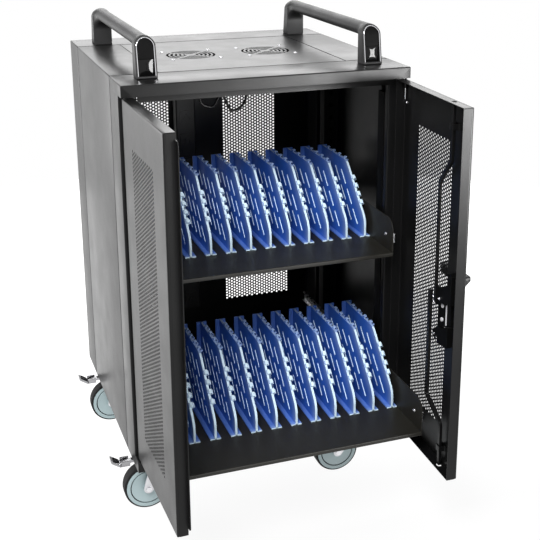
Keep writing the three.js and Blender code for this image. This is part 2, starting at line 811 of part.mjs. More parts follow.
function castorFork() {
  const legInner = wheelWidth / 2 + legGap;
  const legOuter = legInner + legThickness;
  const leg = [
    [-crownRear, crownHigh],
    ...arc([-castorTrail, wheelRadius], legBoss, 180, 330, 4),
    [crownFront - legBoss, crownHigh],
  ];
  const pieces = [
    bar('z', bearingRadius, 14, [0, 0], crownLow, crownHigh + bearingHeight),
    block(-crownRear, crownFront, -legOuter, legOuter, crownLow, crownHigh),
    bar('y', axleRadius, 10, [-castorTrail, wheelRadius], -legOuter - legThickness, legOuter + legThickness),
  ];
  for (const [, side] of sides) {
    const ear = side * (pedalWidth / 2 + pedalEarGap);
    pieces.push(
      extrude('y', leg, side * legInner, side * legOuter),
      block(-pedalPivot - pedalEarReach, -crownRear + sheet, ear, ear + side * pedalEarThickness,
        crownLow, crownHigh),
    );
  }
  const pinReachOut = pedalWidth + pedalEarThickness;
  return join(pieces).subtract(
    bar('y', pedalPinRadius + pedalPinGap, 10, [-pedalPivot, pedalZ], -pinReachOut, pinReachOut),
  );
}

// Wheel about its axle: tyre with rounded shoulders and set-back faces
function castorWheel() {
  const half = wheelWidth / 2;
  const bore = axleRadius + wheelBoreGap;
  const face = half - wheelFaceRecess;
  const shoulder = half - tyreShoulder;
  const profile = [
    [bore, -face], [wheelFace, -face], [wheelFace + wheelFaceRecess, -half],
    [wheelRadius - tyreShoulder, -half], [wheelRadius, -shoulder],
    [wheelRadius, shoulder], [wheelRadius - tyreShoulder, half],
    [wheelFace + wheelFaceRecess, half], [wheelFace, face], [bore, face], [bore, -face],
  ].map(([r, h]) => new THREE.Vector2(r, h));
  const lathe = new THREE.LatheGeometry(profile, wheelSides).rotateY(Math.PI / wheelSides);
  return solid(lathe);
}

// Brake pedal about its pin: it rises outwards past the tyre
function brakePedal() {
  const half = pedalThickness / 2;
  const reach = pedalReach - pedalPivot;
  const outline = [
    [pedalHeel, -half], [pedalHeel, half],
    [-reach, half + pedalRise], [-reach, -half + pedalRise], [-reach / 2, -half],
  ];
  const pinEnd = pedalWidth / 2 + pedalEarGap + pedalEarThickness;
  return join([
    extrude('y', outline, -pedalWidth / 2, pedalWidth / 2),
    bar('y', pedalPinRadius, 10, [0, 0], -pinEnd, pinEnd),
  ]);
}

// Power strip: a bar with a column of raised socket faces towards the trays
function powerStrip() {
  const rear = cabinetDepth - rearPanelRecess - sheet - fitGap;
  const front = rear - stripDepth;
  const low = floorTop + stripRise;
  const half = stripWidth / 2;
  const pitch = stripLength / socketCount;
  const sockets = Array.from({ length: socketCount }, (_, i) => {
    const z = low + (i + 0.5) * pitch;
    const reach = socketSize / 2;
    return block(stripCentre - reach, stripCentre + reach, front - socketProud, front + sheet,
      z - reach, z + reach);
  });
  const body = block(stripCentre - half, stripCentre + half, front, rear, low, low + stripLength);
  return join([body, ...sockets]);
}

// The fixed cabinet
place('base_pan', basePan(), blackSteel);
place('front_frame', frontFrame(), blackSteel);
place('rear_frame', rearFrame(), blackSteel);
place('rear_panel', rearPanel(), blackSteel);
place('fan_panel', fanPanel(), blackSteel);
place('power_strip', powerStrip(), fanPlastic);
place('fan_lead', fanLead(), cableBlack);
for (const [name, side] of sides) {
  place(`${name}_side_panel`, sidePanel(side), blackSteel);
  place(`${name}_slide_carrier`, slideCarrier(side), zincSteel);
  place(`${name}_push_handle`, pushHandle(side), handleBlack);
}
for (const [name, x] of fanCentres) {
  place(`${name}_fan_housing`, fanHousing(x), fanPlastic);
  const hub = new THREE.Group();
  hub.position.set(x, fanFromFront, 0);
  cart.add(hub);
  place(`${name}_fan_rotor`, fanRotor(), fanPlastic, hub);
}

// A group that holds pieces built in their closed places and turns them about the door's hinge pin
function hingedDoor(side) {
  const pin = new THREE.Group();
  pin.position.set(side * pinX, pinY, 0);
  pin.rotation.z = side * THREE.MathUtils.degToRad(doorOpenAngle);
  const closed = new THREE.Group();
  closed.position.set(-side * pinX, -pinY, 0);
  pin.add(closed);
  cart.add(pin);
  return closed;
}

const leftDoor = hingedDoor(-1);
place('left_door', doorPan(-1).add(overlapStrip()), blackSteel, leftDoor);

const rightDoor = hingedDoor(1);
place('right_door', lockDoor(doorPan(1)), blackSteel, rightDoor);
place('lock_case', lockCase(), blackSteel, rightDoor);
place('upper_lock_rod', upperRod(), blackSteel, rightDoor);
place('lower_lock_rod', lowerRod(), blackSteel, rightDoor);
const spindle = new THREE.Group();
spindle.position.set(alongDoor(spindleAlong), 0, spindleZ);
rightDoor.add(spindle);
place('lock_lever', lockLever(), zincSteel, spindle);

// The trays, pulled out as far as they stand at rest, with their dividers
for (const [name, out] of [['upper', upperTrayOut], ['lower', lowerTrayOut]]) {
  const slide = new THREE.Group();
  slide.position.set(0, trayInset - out, trayTops[name]);
  cart.add(slide);
  place(`${name}_tray`, tray(), blackSteel, slide);
  const last = trayHalf - sheet - footGap - footWidth / 2;
  const first = -last + dividerFirstBay;
  for (let i = 0; i < dividerCount; i += 1) {
    const row = new THREE.Group();
    row.position.set(first + ((last - first) * i) / (dividerCount - 1), dividerSetback, 0);
    slide.add(row);
    place(`${name}_divider_${String(i + 1).padStart(2, '0')}`, divider(), dividerBlue, row);
  }
}

// The castors
for (const [name, x, y] of castorPivots) {
  const swivel = new THREE.Group();
  swivel.position.set(x, y, 0);
  cart.add(swivel);
  place(`${name}_fork`, castorFork(), zincSteel, swivel);
  const axle = new THREE.Group();
  axle.position.set(-castorTrail, 0, wheelRadius);
  swivel.add(axle);
  place(`${name}_wheel`, castorWheel(), wheelGrey, axle);
  const pedal = new THREE.Group();
  pedal.position.set(-pedalPivot, 0, pedalZ);
  swivel.add(pedal);
  place(`${name}_brake_pedal`, brakePedal(), zincSteel, pedal);
}

// The origin is the middle of the floor under the cart as it stands
cart.updateMatrixWorld(true);
const extent = new THREE.Box3().setFromObject(cart, true);
const middle = extent.getCenter(new THREE.Vector3());
cart.position.set(-middle.x, -middle.y, -extent.min.z);

export default cart;
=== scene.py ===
# %% [markdown]
# # Dressing a laptop charging cart
# The cart is a black steel cabinet on castors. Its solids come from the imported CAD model, which stays
# where it is and gives every piece its place. This lesson makes the surfaces that the eye sees: folded
# sheet metal, perforated doors, moulded blue dividers, handles, castors and the lock. Every length
# below is in millimetres, with x to the right, y to the back, z up and the cabinet's front at y = 0.

# %% Load the frame
import math

import bpy
import numpy as np
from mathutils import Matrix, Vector
from mathutils.geometry import delaunay_2d_cdt


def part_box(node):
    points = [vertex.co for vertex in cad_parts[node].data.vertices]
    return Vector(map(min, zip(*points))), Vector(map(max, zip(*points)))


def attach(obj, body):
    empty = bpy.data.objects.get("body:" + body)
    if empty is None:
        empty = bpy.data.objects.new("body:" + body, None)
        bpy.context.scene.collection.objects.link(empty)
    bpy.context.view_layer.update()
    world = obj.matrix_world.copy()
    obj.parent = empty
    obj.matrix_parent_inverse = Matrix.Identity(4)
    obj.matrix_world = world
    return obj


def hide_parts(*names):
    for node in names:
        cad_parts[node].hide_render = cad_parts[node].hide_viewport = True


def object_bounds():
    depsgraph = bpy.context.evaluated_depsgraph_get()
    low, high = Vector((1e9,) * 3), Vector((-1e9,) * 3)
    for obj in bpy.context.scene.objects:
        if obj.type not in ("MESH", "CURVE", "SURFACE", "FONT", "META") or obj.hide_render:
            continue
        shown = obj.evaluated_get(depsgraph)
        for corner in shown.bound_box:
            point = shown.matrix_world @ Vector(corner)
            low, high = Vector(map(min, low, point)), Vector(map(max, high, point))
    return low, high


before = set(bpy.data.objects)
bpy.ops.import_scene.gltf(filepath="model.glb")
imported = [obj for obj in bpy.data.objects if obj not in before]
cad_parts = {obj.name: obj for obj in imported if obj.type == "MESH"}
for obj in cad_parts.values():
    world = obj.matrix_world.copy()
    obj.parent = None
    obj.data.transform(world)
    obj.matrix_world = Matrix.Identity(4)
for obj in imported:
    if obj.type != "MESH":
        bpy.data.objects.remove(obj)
cad_box = [list(corner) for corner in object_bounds()]
print("CAD box", [[round(value, 4) for value in corner] for corner in cad_box])

# %% [markdown]
# The base pan fixes how the cart's own measures sit in the shared frame: it is as wide as the cabinet,
# its front is y = 0 and its castor pads end at a known height. One shift then serves every piece.

# %% From the cart's measures to the shared frame
PAD_BOTTOM = 130.3
base_low, base_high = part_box("base_pan")
SHIFT = np.array([
    500 * (base_low.x + base_high.x),
    1000 * base_low.y,
    1000 * base_low.z - PAD_BOTTOM,
])
print("shift", SHIFT.round(3))

# %% [markdown]
# The camera stands in front and to the left, above the cart, and looks down on it. Its place, turn and
# lens were worked out from the cabinet's corners in the picture. A longer lens keeps the uprights nearly
# parallel. The small shift moves the picture in its frame without turning the camera.

# %% Camera
CAMERA_PLACE = (-0.65199, -2.09812, 1.33426)
CAMERA_YAW = 20.15
CAMERA_PITCH = 16.71
CAMERA_LENS = 70.97
CAMERA_SENSOR = 36
CAMERA_SHIFT = (-0.0469, -0.1444)
camera_data = bpy.data.cameras.new("camera")
camera_data.sensor_width = CAMERA_SENSOR
camera_data.lens = CAMERA_LENS
camera_data.shift_x, camera_data.shift_y = CAMERA_SHIFT
camera = bpy.data.objects.new("camera", camera_data)
camera.location = CAMERA_PLACE
camera.rotation_euler = (math.radians(90 - CAMERA_PITCH), 0, math.radians(-CAMERA_YAW))
bpy.context.scene.collection.objects.link(camera)
bpy.context.scene.camera = camera
print("camera at", CAMERA_PLACE)

# %% [markdown]
# Flat outlines are rows of two numbers, and many of them come from angles. Two helpers make such rows.

# %% Rows of two numbers


def paired(first, second):
    """Two arrays side by side, as rows of two numbers."""
    return np.stack(np.broadcast_arrays(first, second), axis=-1)


def compass(turn):
    """The directions (cos t, sin t) of angles in radians."""
    return paired(np.cos(turn), np.sin(turn))


# %% [markdown]
# ## Turning arrays into meshes
# A part is an array of points and an array of faces. A face has four corners, and a triangle repeats its
# last one. Points that coincide are welded, faces that collapse are dropped, and a closed part whose
# volume comes out negative is turned round, so that every face points outwards.

# %% Welding and facing
WELD = 1e-4


def tidy(part):
    """Weld points closer than WELD, then turn the part so that its signed volume is positive."""
    points, faces = part
    keys = np.round(points / WELD).astype(np.int64)
    _, first, back = np.unique(keys, axis=0, return_index=True, return_inverse=True)
    points = points[first]
    faces = back.reshape(-1)[faces]
    a, b, c, d = (points[faces[:, corner]] for corner in range(4))
    volume = np.einsum("ij,ij->", a, np.cross(b, c)) + np.einsum("ij,ij->", a, np.cross(c, d))
    return points, (faces if volume > 0 else faces[:, ::-1])


def gather(parts):
    """Join parts into one: each part's faces are counted on from the points before it."""
    parts = [tidy(part) for part in parts]
    starts = np.cumsum([0] + [len(points) for points, _ in parts[:-1]])
    points = np.vstack([points for points, _ in parts])
    faces = np.vstack([part_faces + start for (_, part_faces), start in zip(parts, starts)])
    return points, faces


def fill_mesh(mesh, points, faces):
    """Write points and faces in one go, without the repeated corners of triangles."""
    keep = faces != np.roll(faces, 1, axis=1)
    whole = keep.sum(axis=1) >= 3
    faces, keep = faces[whole], keep[whole]
    corners = faces[keep]
    counts = keep.sum(axis=1)
    mesh.vertices.add(len(points))
    mesh.vertices.foreach_set("co", ((points + SHIFT) / 1000).astype(np.float32).ravel())
    mesh.loops.add(len(corners))
    mesh.loops.foreach_set("vertex_index", corners.astype(np.int32))
    mesh.polygons.add(len(counts))
    mesh.polygons.foreach_set("loop_start", (np.cumsum(counts) - counts).astype(np.int32))
    mesh.update(calc_edges=True)
    mesh.validate()


# %% [markdown]
# Every finished piece is made here: its mesh, its finish, the body that it rides on and the CAD node that
# it stands for. Sheet edges get a small Bevel with weighted normals, because a perfectly sharp edge never
# catches the light. Pieces whose rounding is already in their points are only shaded smooth by angle.

# %% Making a piece
BEVEL_ANGLE = math.radians(35)


def piece(name, parts, material, body, slot, nodes=(), bevel=0, sharp=40):
    """A piece from parts in millimetres; bevel is the rounding of its edges, sharp a shading angle."""
    mesh = bpy.data.meshes.new(name)
    points, faces = gather(parts)
    fill_mesh(mesh, points, faces)
    mesh.polygons.foreach_set("use_smooth", np.ones(len(mesh.polygons), bool))
    made = bpy.data.objects.new(name, mesh)
    bpy.context.scene.collection.objects.link(made)
    mesh.materials.append(material)
    if bevel:
        rounding = made.modifiers.new("rounding", "BEVEL")
        rounding.width = bevel / 1000
        rounding.segments = 2
        rounding.limit_method = "ANGLE"
        rounding.angle_limit = BEVEL_ANGLE
        made.modifiers.new("flat_faces", "WEIGHTED_NORMAL")
    else:
        mesh.set_sharp_from_angle(angle=math.radians(sharp))
    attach(made, body)
    if nodes:
        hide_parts(*nodes)
    print(f"{name}: {len(mesh.polygons)} faces on {body}")
    return made


# %% [markdown]
# ## Surfaces from two parameters
# Most pieces are lofts: P(i, j) is a point where i counts the stations along the piece and j runs round
# the outline at each station. Neighbouring points are joined by quads. The two ends are closed with a fan
# or, for a thin strip of metal, with a row of quads from skin to skin. The profile of a turned part stops a
# hair's breadth short of its axis, because points on the axis itself would all coincide.

# %% Lofts
AXIS = 0.02


def grid_quads(rows, columns, wrap_rows, wrap_columns):
    """Quads (i, j), (i, j+1), (i+1, j+1), (i+1, j) of a grid that may wrap either way."""
    i = np.arange(rows if wrap_rows else rows - 1)[:, None]
    j = np.arange(columns if wrap_columns else columns - 1)[None, :]
    near, far = i * columns, (i + 1) % rows * columns
    after = (j + 1) % columns
    return np.stack([near + j, near + after, far + after, far + j], axis=-1).reshape(-1, 4)


def loft(rings, closed=False, thin=False):
    """Skin over rings of shape (stations, outline points, 3); open ends are closed flat."""
    stations, count, _ = rings.shape
    points = rings.reshape(-1, 3)
    faces = [grid_quads(stations, count, closed, True)]
    ends = [] if closed else [(0, -1), (stations - 1, 1)]
    for row, turn in ends:
        rim = row * count + np.arange(count)
        if thin:
            j = np.arange(count // 2 - 1)
            lid = np.stack([rim[j], rim[j + 1], rim[count - 2 - j], rim[count - 1 - j]], axis=-1)
        else:
            hub = np.full(count, len(points))
            points = np.vstack([points, rings[row].mean(axis=0)])
            after = np.roll(rim, -1)
            lid = np.stack([hub, rim, after, after], axis=-1)
        faces.append(lid[:, ::turn])
    return points, np.vstack(faces)


def along(order, a, b, c):
    """Points from three arrays, where order names the axis that each of them runs along."""
    found = dict(zip(order, np.broadcast_arrays(a, b, c)))
    return np.stack([found["x"], found["y"], found["z"]], axis=-1).astype(float)


# %% Straight and turned shapes


def extruded(outline, order, start, stop, thin=False):
    """An outline in the plane of the first two axes of order, carried straight along the third."""
    outline = np.asarray(outline, float)
    ends = np.array([[start], [stop]], float)
    return loft(along(order, outline[None, :, 0], outline[None, :, 1], ends), thin=thin)


def slab(x0, x1, y0, y1, z0, z1):
    """A flat plate between two corners."""
    return extruded([(x0, y0), (x1, y0), (x1, y1), (x0, y1)], "xyz", z0, z1)


def revolved(profile, order, centre, sides):
    """A closed profile of (radius, along) turned about an axis: the last one that order names."""
    profile = np.asarray(profile, float)
    turn = 2 * np.pi * np.arange(sides)[:, None] / sides
    across = centre[0] + profile[None, :, 0] * np.cos(turn)
    up = centre[1] + profile[None, :, 0] * np.sin(turn)
    return loft(along(order, across, up, centre[2] + profile[None, :, 1]), closed=True)


def tube(path, radius, sides):
    """A round bar along a path in a plane: p + r (cos t n + sin t b), with n and b square to the path."""
    path = np.asarray(path, float)
    way = np.gradient(path, axis=0)
    way /= np.linalg.norm(way, axis=1, keepdims=True)
    flat = np.linalg.svd(path - path.mean(axis=0))[2][2]
    side = np.cross(way, flat)
    turn = 2 * np.pi * np.arange(sides) / sides
    ring = side[:, None] * np.cos(turn)[None, :, None] + flat * np.sin(turn)[None, :, None]
    return loft(path[:, None] + radius * ring)


# %% Sides and places


def unturned(part):
    """A part left as it is, for the right side of the cart."""
    return part


def mirrored(part):
    """The same part on the other side of the cart: x changes sign."""
    points, faces = part
    return points * (-1, 1, 1), faces[:, ::-1]


def moved(parts, place):
    """Parts carried to a place: every point p becomes p + place."""
    return [(points + place, faces) for points, faces in parts]


SIDES = {"left": mirrored, "right": unturned}


# %% [markdown]
# ## Folded sheet
# The cabinet is bent from sheet steel 1.5 mm thick. Drawing boxes would give knife edges. A strip is
# nearer to the real thing: its line turns each corner in an arc, its second skin lies one thickness
# inside, and the closed outline is carried along the fold.

# %% Strips of sheet metal
SHEET = 1.5
FOLD = 2.4


def rounded_line(points, radius, steps=4):
    """Points and headings of a bent line whose corners are arcs of one radius."""
    points = np.asarray(points, float)
    legs = np.diff(points, axis=0)
    legs /= np.linalg.norm(legs, axis=1, keepdims=True)
    places, headings = [points[:1]], [legs[:1]]
    for corner, before, after in zip(points[1:-1], legs[:-1], legs[1:]):
        turn = math.atan2(before[0] * after[1] - before[1] * after[0], before @ after)
        bend = math.copysign(radius, turn)
        heading = math.atan2(before[1], before[0]) + turn * np.linspace(0, 1, steps + 1)
        centre = corner - before * radius * math.tan(abs(turn) / 2) + bend * np.array([-before[1], before[0]])
        places.append(centre + bend * paired(np.sin(heading), -np.cos(heading)))
        headings.append(compass(heading))
    places.append(points[-1:])
    headings.append(legs[-1:])
    return np.vstack(places), np.vstack(headings)


def strip(points, side, thickness=SHEET, radius=FOLD):
    """Closed outline of a sheet whose outer skin follows points; the inner skin is left (1) or right (-1)."""
    skin, heading = rounded_line(points, radius)
    left = paired(-heading[:, 1], heading[:, 0])
    return np.vstack([skin, (skin + side * thickness * left)[::-1]])


def folded(points, side, order, start, stop, thickness=SHEET, radius=FOLD):
    """A folded sheet: the strip's outline carried straight along the third axis of order."""
    return extruded(strip(points, side, thickness, radius), order, start, stop, thin=True)


# %% [markdown]
# Pans and hoods fold round more than one edge. Their strip is given as depth and inset, and it is carried
# round a rectangle. At an inset d, a corner of radius R has its centre at max(R, d) from both sides and a
# radius of max(R - d, 0), so that the outer corner is round and the inner lips meet in a mitre.

# %% Strips carried round a rectangle


def corner_stations(corner, inward, start, stop, radius, steps=4):
    """Stations of one rounded corner, from one outward direction in degrees to the next."""
    turn = np.radians(np.linspace(start, stop, steps + 1))
    ones = np.ones((steps + 1, 1))
    return np.hstack([ones * corner, ones * inward, compass(turn), ones * radius])


def end_station(place, inward):
    """The station where an open path begins or ends."""
    return np.array([[*place, *inward, 0, 0, 0]], float)


def rectangle(u0, u1, v0, v1, radius):
    """A closed path round a rectangle."""
    return np.vstack([
        corner_stations((u0, v0), (1, 1), 270, 180, radius),
        corner_stations((u0, v1), (1, -1), 180, 90, radius),
        corner_stations((u1, v1), (-1, -1), 90, 0, radius),
        corner_stations((u1, v0), (-1, 1), 0, -90, radius),
    ])


def arch(u0, u1, v0, v1, radius):
    """An open path up one side, over the top and down the other side."""
    return np.vstack([
        end_station((u0, v0), (1, 0)),
        corner_stations((u0, v1), (1, -1), 180, 90, radius),
        corner_stations((u1, v1), (-1, -1), 90, 0, radius),
        end_station((u1, v0), (-1, 0)),
    ])


def carried(outline, stations, order, closed):
    """A strip outline of (depth, inset) carried round a path in the plane of the first two axes of order."""
    corner, inward, outward, radius = np.split(stations[:, None, :], [2, 4, 6], axis=2)
    inset = outline[None, :, 1:]
    place = corner + inward * np.maximum(radius, inset) + outward * np.maximum(radius - inset, 0)
    rings = along(order, place[..., 0], place[..., 1], outline[None, :, 0])
    return loft(rings, closed=closed, thin=True)


# %% [markdown]
# ## Plates with cut-outs
# A flat outline with holes can't be a plain grid, so its face is triangulated between the given edges and
# the walls are quads between the two faces. This serves the fan grilles, dividers and small stampings.

# %% Plates
INSIDE_TRIANGLES = 1
TOUCHING = 1e-7


def turning(loop, way):
    """The loop as an array that turns to the left (1) or to the right (-1), by its signed area."""
    loop = np.asarray(loop, float)
    after = np.roll(loop, -1, axis=0)
    area = (loop[:, 0] * after[:, 1] - loop[:, 1] * after[:, 0]).sum()
    return loop if area * way > 0 else loop[::-1]


def inside(places, flat, edges):
    """Even-odd rule: a place is inside where a line to its right crosses an odd number of edges."""
    a, b = flat[edges[:, 0]], flat[edges[:, 1]]
    u, v = places[:, None, 0], places[:, None, 1]
    crosses = (a[:, 1] > v) != (b[:, 1] > v)
    rise = np.where(crosses, b[:, 1] - a[:, 1], 1)
    meets = a[:, 0] + (v - a[:, 1]) * (b[:, 0] - a[:, 0]) / rise
    return (crosses & (u < meets)).sum(axis=1) % 2 == 1


def plate(outline, holes, order, start, stop):
    """A plate of even thickness from a flat outline and the outlines of its holes."""
    loops = [turning(outline, 1)] + [turning(hole, -1) for hole in holes]
    flat = np.vstack(loops)
    starts = np.cumsum([0] + [len(loop) for loop in loops[:-1]])
    edges = np.vstack([
        first + paired(np.arange(len(loop)), np.roll(np.arange(len(loop)), -1))
        for first, loop in zip(starts, loops)
    ])
    found = delaunay_2d_cdt([Vector(p) for p in flat], edges.tolist(), [], INSIDE_TRIANGLES, TOUCHING)
    corners = np.array([flat[sources[0]] for sources in found[3]])
    tris = np.array(found[2])
    tris = tris[inside(corners[tris].mean(axis=1), flat, edges)]
    near, far = (along(order, corners[:, 0], corners[:, 1], depth) for depth in (start, stop))
    rims = np.vstack([along(order, flat[:, 0], flat[:, 1], depth) for depth in (start, stop)])
    lids = tris[:, [0, 1, 2, 2]]
    walls = np.stack([edges[:, 0], edges[:, 1], edges[:, 1] + len(flat), edges[:, 0] + len(flat)], axis=-1)
    points = np.vstack([near, far, rims])
    faces = np.vstack([lids[:, ::-1], lids + len(near), walls + 2 * len(near)])
    return points, faces


# %% Outlines


def arc(centre, radius, start, stop, steps):
    """Points of an arc, both ends included; angles in degrees."""
    turn = np.radians(np.linspace(start, stop, steps + 1))
    return centre + radius * compass(turn)


def rounded_outline(points, radius, steps=4):
    """A closed outline with every corner rounded by one radius."""
    points = np.asarray(points, float)
    middle = (points[0] + points[-1]) / 2
    line, _ = rounded_line(np.vstack([middle, points, middle]), radius, steps)
    return line[1:]


def box_outline(u0, u1, v0, v1, radius, steps=4):
    """A rectangle with rounded corners."""
    return rounded_outline([(u0, v0), (u1, v0), (u1, v1), (u0, v1)], radius, steps)


def about(centre, half, radius, steps=4):
    """A rounded rectangle about a point, from its half width and its half height."""
    (u, v), (half_u, half_v) = centre, half
    return box_outline(u - half_u, u + half_u, v - half_v, v + half_v, radius, steps)


# %% [markdown]
# ## Perforated sheet
# The doors and the rear panel are punched with thousands of round holes in staggered columns. Cutting
# them with booleans would be slow. Instead each hole owns one cell: eight points on the cell's border are
# joined to the eight points of the hole. Odd columns stand half a pitch higher, and small quads fill their
# ends. The rest of the sheet is the grid of all the border lines, left out where a zone or window is.

# %% Perforation
HOLE_RADIUS = 2.6
COLUMN_PITCH = 7
ROW_PITCH = 7.7
PUNCHED_SHEET = 1
HALF_CELL = np.array([COLUMN_PITCH, ROW_PITCH]) / 2
EIGHT = np.array([(1, 0), (1, 1), (0, 1), (-1, 1), (-1, 0), (-1, -1), (0, -1), (1, -1)], float)


def border_lines(bounds, zones, windows):
    """Lines along u and along v: the edges of the sheet and its windows, and every half cell."""
    u_lines, v_lines = [], []
    for near_u, far_u, near_v, far_v in [bounds, *windows]:
        u_lines += [near_u, far_u]
        v_lines += [near_v, far_v]
    for zone_u, columns, zone_v, rows in zones:
        u_lines += list(zone_u + HALF_CELL[0] * np.arange(2 * columns + 1))
        v_lines += list(zone_v + HALF_CELL[1] * np.arange(2 * rows + 2))
    return np.unique(np.round(u_lines, 6)), np.unique(np.round(v_lines, 6))


def zone_field(zone_u, columns, zone_v, rows):
    """The rectangle that a zone of holes takes up; the stagger adds half a row."""
    return zone_u, zone_u + columns * COLUMN_PITCH, zone_v, zone_v + (rows + 0.5) * ROW_PITCH


def zone_cells(zone_u, columns, zone_v, rows):
    """Middles of a zone's cells, and of the quarter cells, two to a column, that fill the stagger."""
    du, dv = HALF_CELL
    column, row = np.meshgrid(np.arange(columns), np.arange(rows), indexing="ij")
    whole = paired(zone_u + du * (2 * column + 1), zone_v + dv * (2 * row + 1 + column % 2))
    column = np.arange(columns)
    level = np.where(column % 2, zone_v + dv / 2, zone_v + dv * (2 * rows + 0.5))
    fill = [paired(zone_u + du * (2 * column + part), level) for part in (0.5, 1.5)]
    return whole.reshape(-1, 2), np.vstack(fill)


# %% The plain rest of the sheet


def plain_quads(u_lines, v_lines, openings):
    """Quads between neighbouring lines, left out where an opening is."""
    u_middle, v_middle = (u_lines[1:] + u_lines[:-1]) / 2, (v_lines[1:] + v_lines[:-1]) / 2
    solid = np.ones((len(u_middle), len(v_middle)), bool)
    for near_u, far_u, near_v, far_v in openings:
        inside_u = (u_middle > near_u) & (u_middle < far_u)
        inside_v = (v_middle > near_v) & (v_middle < far_v)
        solid &= ~(inside_u[:, None] & inside_v[None, :])
    i, j = np.nonzero(solid)
    corners = ((0, 0), (1, 0), (1, 1), (0, 1))
    return np.stack([paired(u_lines[i + a], v_lines[j + b]) for a, b in corners], axis=1)


def side_walls(u_lines, v_lines, u0, u1, v0, v1):
    """Edges round a rectangle, cut at every line that crosses it, with the solid on their inner side."""
    u_cuts = u_lines[(u_lines > u0 - WELD) & (u_lines < u1 + WELD)]
    v_cuts = v_lines[(v_lines > v0 - WELD) & (v_lines < v1 + WELD)]
    edge_u = paired(u_cuts[:-1], u_cuts[1:])
    edge_v = paired(v_cuts[:-1], v_cuts[1:])
    return np.vstack([
        paired(edge_u, v0), paired(edge_u, v1)[:, ::-1], paired(u0, edge_v)[:, ::-1], paired(u1, edge_v),
    ])


# %% Perforated sheets


def perforated(bounds, zones, order, front, back, windows=()):
    """A sheet with zones of holes, each (first u, columns, first v, rows), and square windows."""
    u_lines, v_lines = border_lines(bounds, zones, windows)
    cells = [zone_cells(*zone) for zone in zones]
    hole = np.vstack([whole for whole, _ in cells])
    fill = np.vstack([quarters for _, quarters in cells])
    border = hole[:, None] + EIGHT * HALF_CELL
    turn = np.pi / 4 * np.arange(8)
    ring = hole[:, None] + HOLE_RADIUS * compass(turn)
    ring_after = np.roll(ring, -1, axis=1)
    flat = np.vstack([
        plain_quads(u_lines, v_lines, [*[zone_field(*zone) for zone in zones], *windows]),
        fill[:, None] + EIGHT[None, [5, 7, 1, 3]] * HALF_CELL / 2,
        np.stack([border, np.roll(border, -1, axis=1), ring_after, ring], axis=2).reshape(-1, 4, 2),
    ])
    sides = np.vstack([
        side_walls(u_lines, v_lines, *bounds),
        *[side_walls(u_lines, v_lines, *window)[:, ::-1] for window in windows],
        np.stack([ring_after, ring], axis=2).reshape(-1, 2, 2),
    ])
    near = along(order, flat[..., 0], flat[..., 1], front)
    far = along(order, flat[..., 0], flat[..., 1], back)[:, ::-1]
    wall = np.concatenate([
        along(order, sides[..., 0], sides[..., 1], front)[:, ::-1],
        along(order, sides[..., 0], sides[..., 1], back),
    ], axis=1)
    points = np.concatenate([near, far, wall]).reshape(-1, 3)
    return points, np.arange(len(points)).reshape(-1, 4)


# %% [markdown]
# Screws show all over the cart. One profile of a domed head, turned about its axis, serves them all. A
# cross recess would be smaller than the picture can show, so the head carries a plain round dimple.

# %% Screws


def screw(order, place, radius, height, direction=1):
    """A domed head: its profile rises from the rim to a crown with a dimple, then turns about the axis."""
    profile = np.array([
        (AXIS, -0.4), (1, -0.4), (1, 0.25), (0.9, 0.6), (0.62, 0.92), (0.34, 1), (0.28, 0.55), (AXIS, 0.5),
    ])
    return revolved(profile * (radius, direction * height), order, place, 16)


def hex_bolt(order, place, radius, height, direction=1):
    """A hexagon head with a chamfered top."""
    turn = np.radians(60 * np.arange(6))[None, :]
    scale = np.array([1, 1, 0.86])[:, None] * radius
    level = np.array([-0.3, 0.8, 1])[:, None] * height * direction
    across = place[0] + scale * np.cos(turn)
    up = place[1] + scale * np.sin(turn)
    return loft(along(order, across, up, place[2] + level))


# %% [markdown]
# ## Finishes
# Two effects recur. Powder coat and moulded plastic have a fine grain, and every real surface is a little
# uneven over a hand's width. Both are noise on the Object coordinates, kept in one shader group each, so
# that every material can place them with its own values. Two functions for plain numbers come first.

# %% Nodes for numbers


def maths(tree, operation, first, second):
    """The result of a math node; each side is a socket or a number."""
    node = tree.nodes.new("ShaderNodeMath")
    node.operation = operation
    for socket, given in zip(node.inputs, (first, second)):
        if isinstance(given, (int, float)):
            socket.default_value = given
        else:
            tree.links.new(given, socket)
    return node.outputs["Value"]


def carried_over(tree, value, source=(0, 1), target=(0, 1)):
    """A value carried from one range to another in a straight line, and held at the ends."""
    node = tree.nodes.new("ShaderNodeMapRange")
    for title, level in zip(("From Min", "From Max", "To Min", "To Max"), (*source, *target)):
        node.inputs[title].default_value = level
    tree.links.new(value, node.inputs["Value"])
    return node.outputs["Result"]


# %% Shared effects
SPREAD = (0.3, 0.7)


def shader_group(name, inputs, outputs):
    """An empty shader group with named float inputs and outputs."""
    group = bpy.data.node_groups.new(name, "ShaderNodeTree")
    for title, value in inputs.items():
        socket = group.interface.new_socket(title, in_out="INPUT", socket_type="NodeSocketFloat")
        socket.default_value = value
    for title in outputs:
        group.interface.new_socket(title, in_out="OUTPUT", socket_type="NodeSocketFloat")
    return group, group.nodes.new("NodeGroupInput"), group.nodes.new("NodeGroupOutput")


def noise_in(group, scale_socket, detail):
    """A noise texture on the Object coordinates of a piece."""
    place = group.nodes.new("ShaderNodeTexCoord")
    noise = group.nodes.new("ShaderNodeTexNoise")
    noise.inputs["Detail"].default_value = detail
    group.links.new(place.outputs["Object"], noise.inputs["Vector"])
    group.links.new(scale_socket, noise.inputs["Scale"])
    return noise


def make_grain():
    """Grain: fine noise as a height."""
    group, given, result = shader_group("fine_grain", {"Scale": 900}, ["Height"])
    noise = noise_in(group, given.outputs["Scale"], 2)
    group.links.new(noise.outputs["Fac"], result.inputs["Height"])
    return group


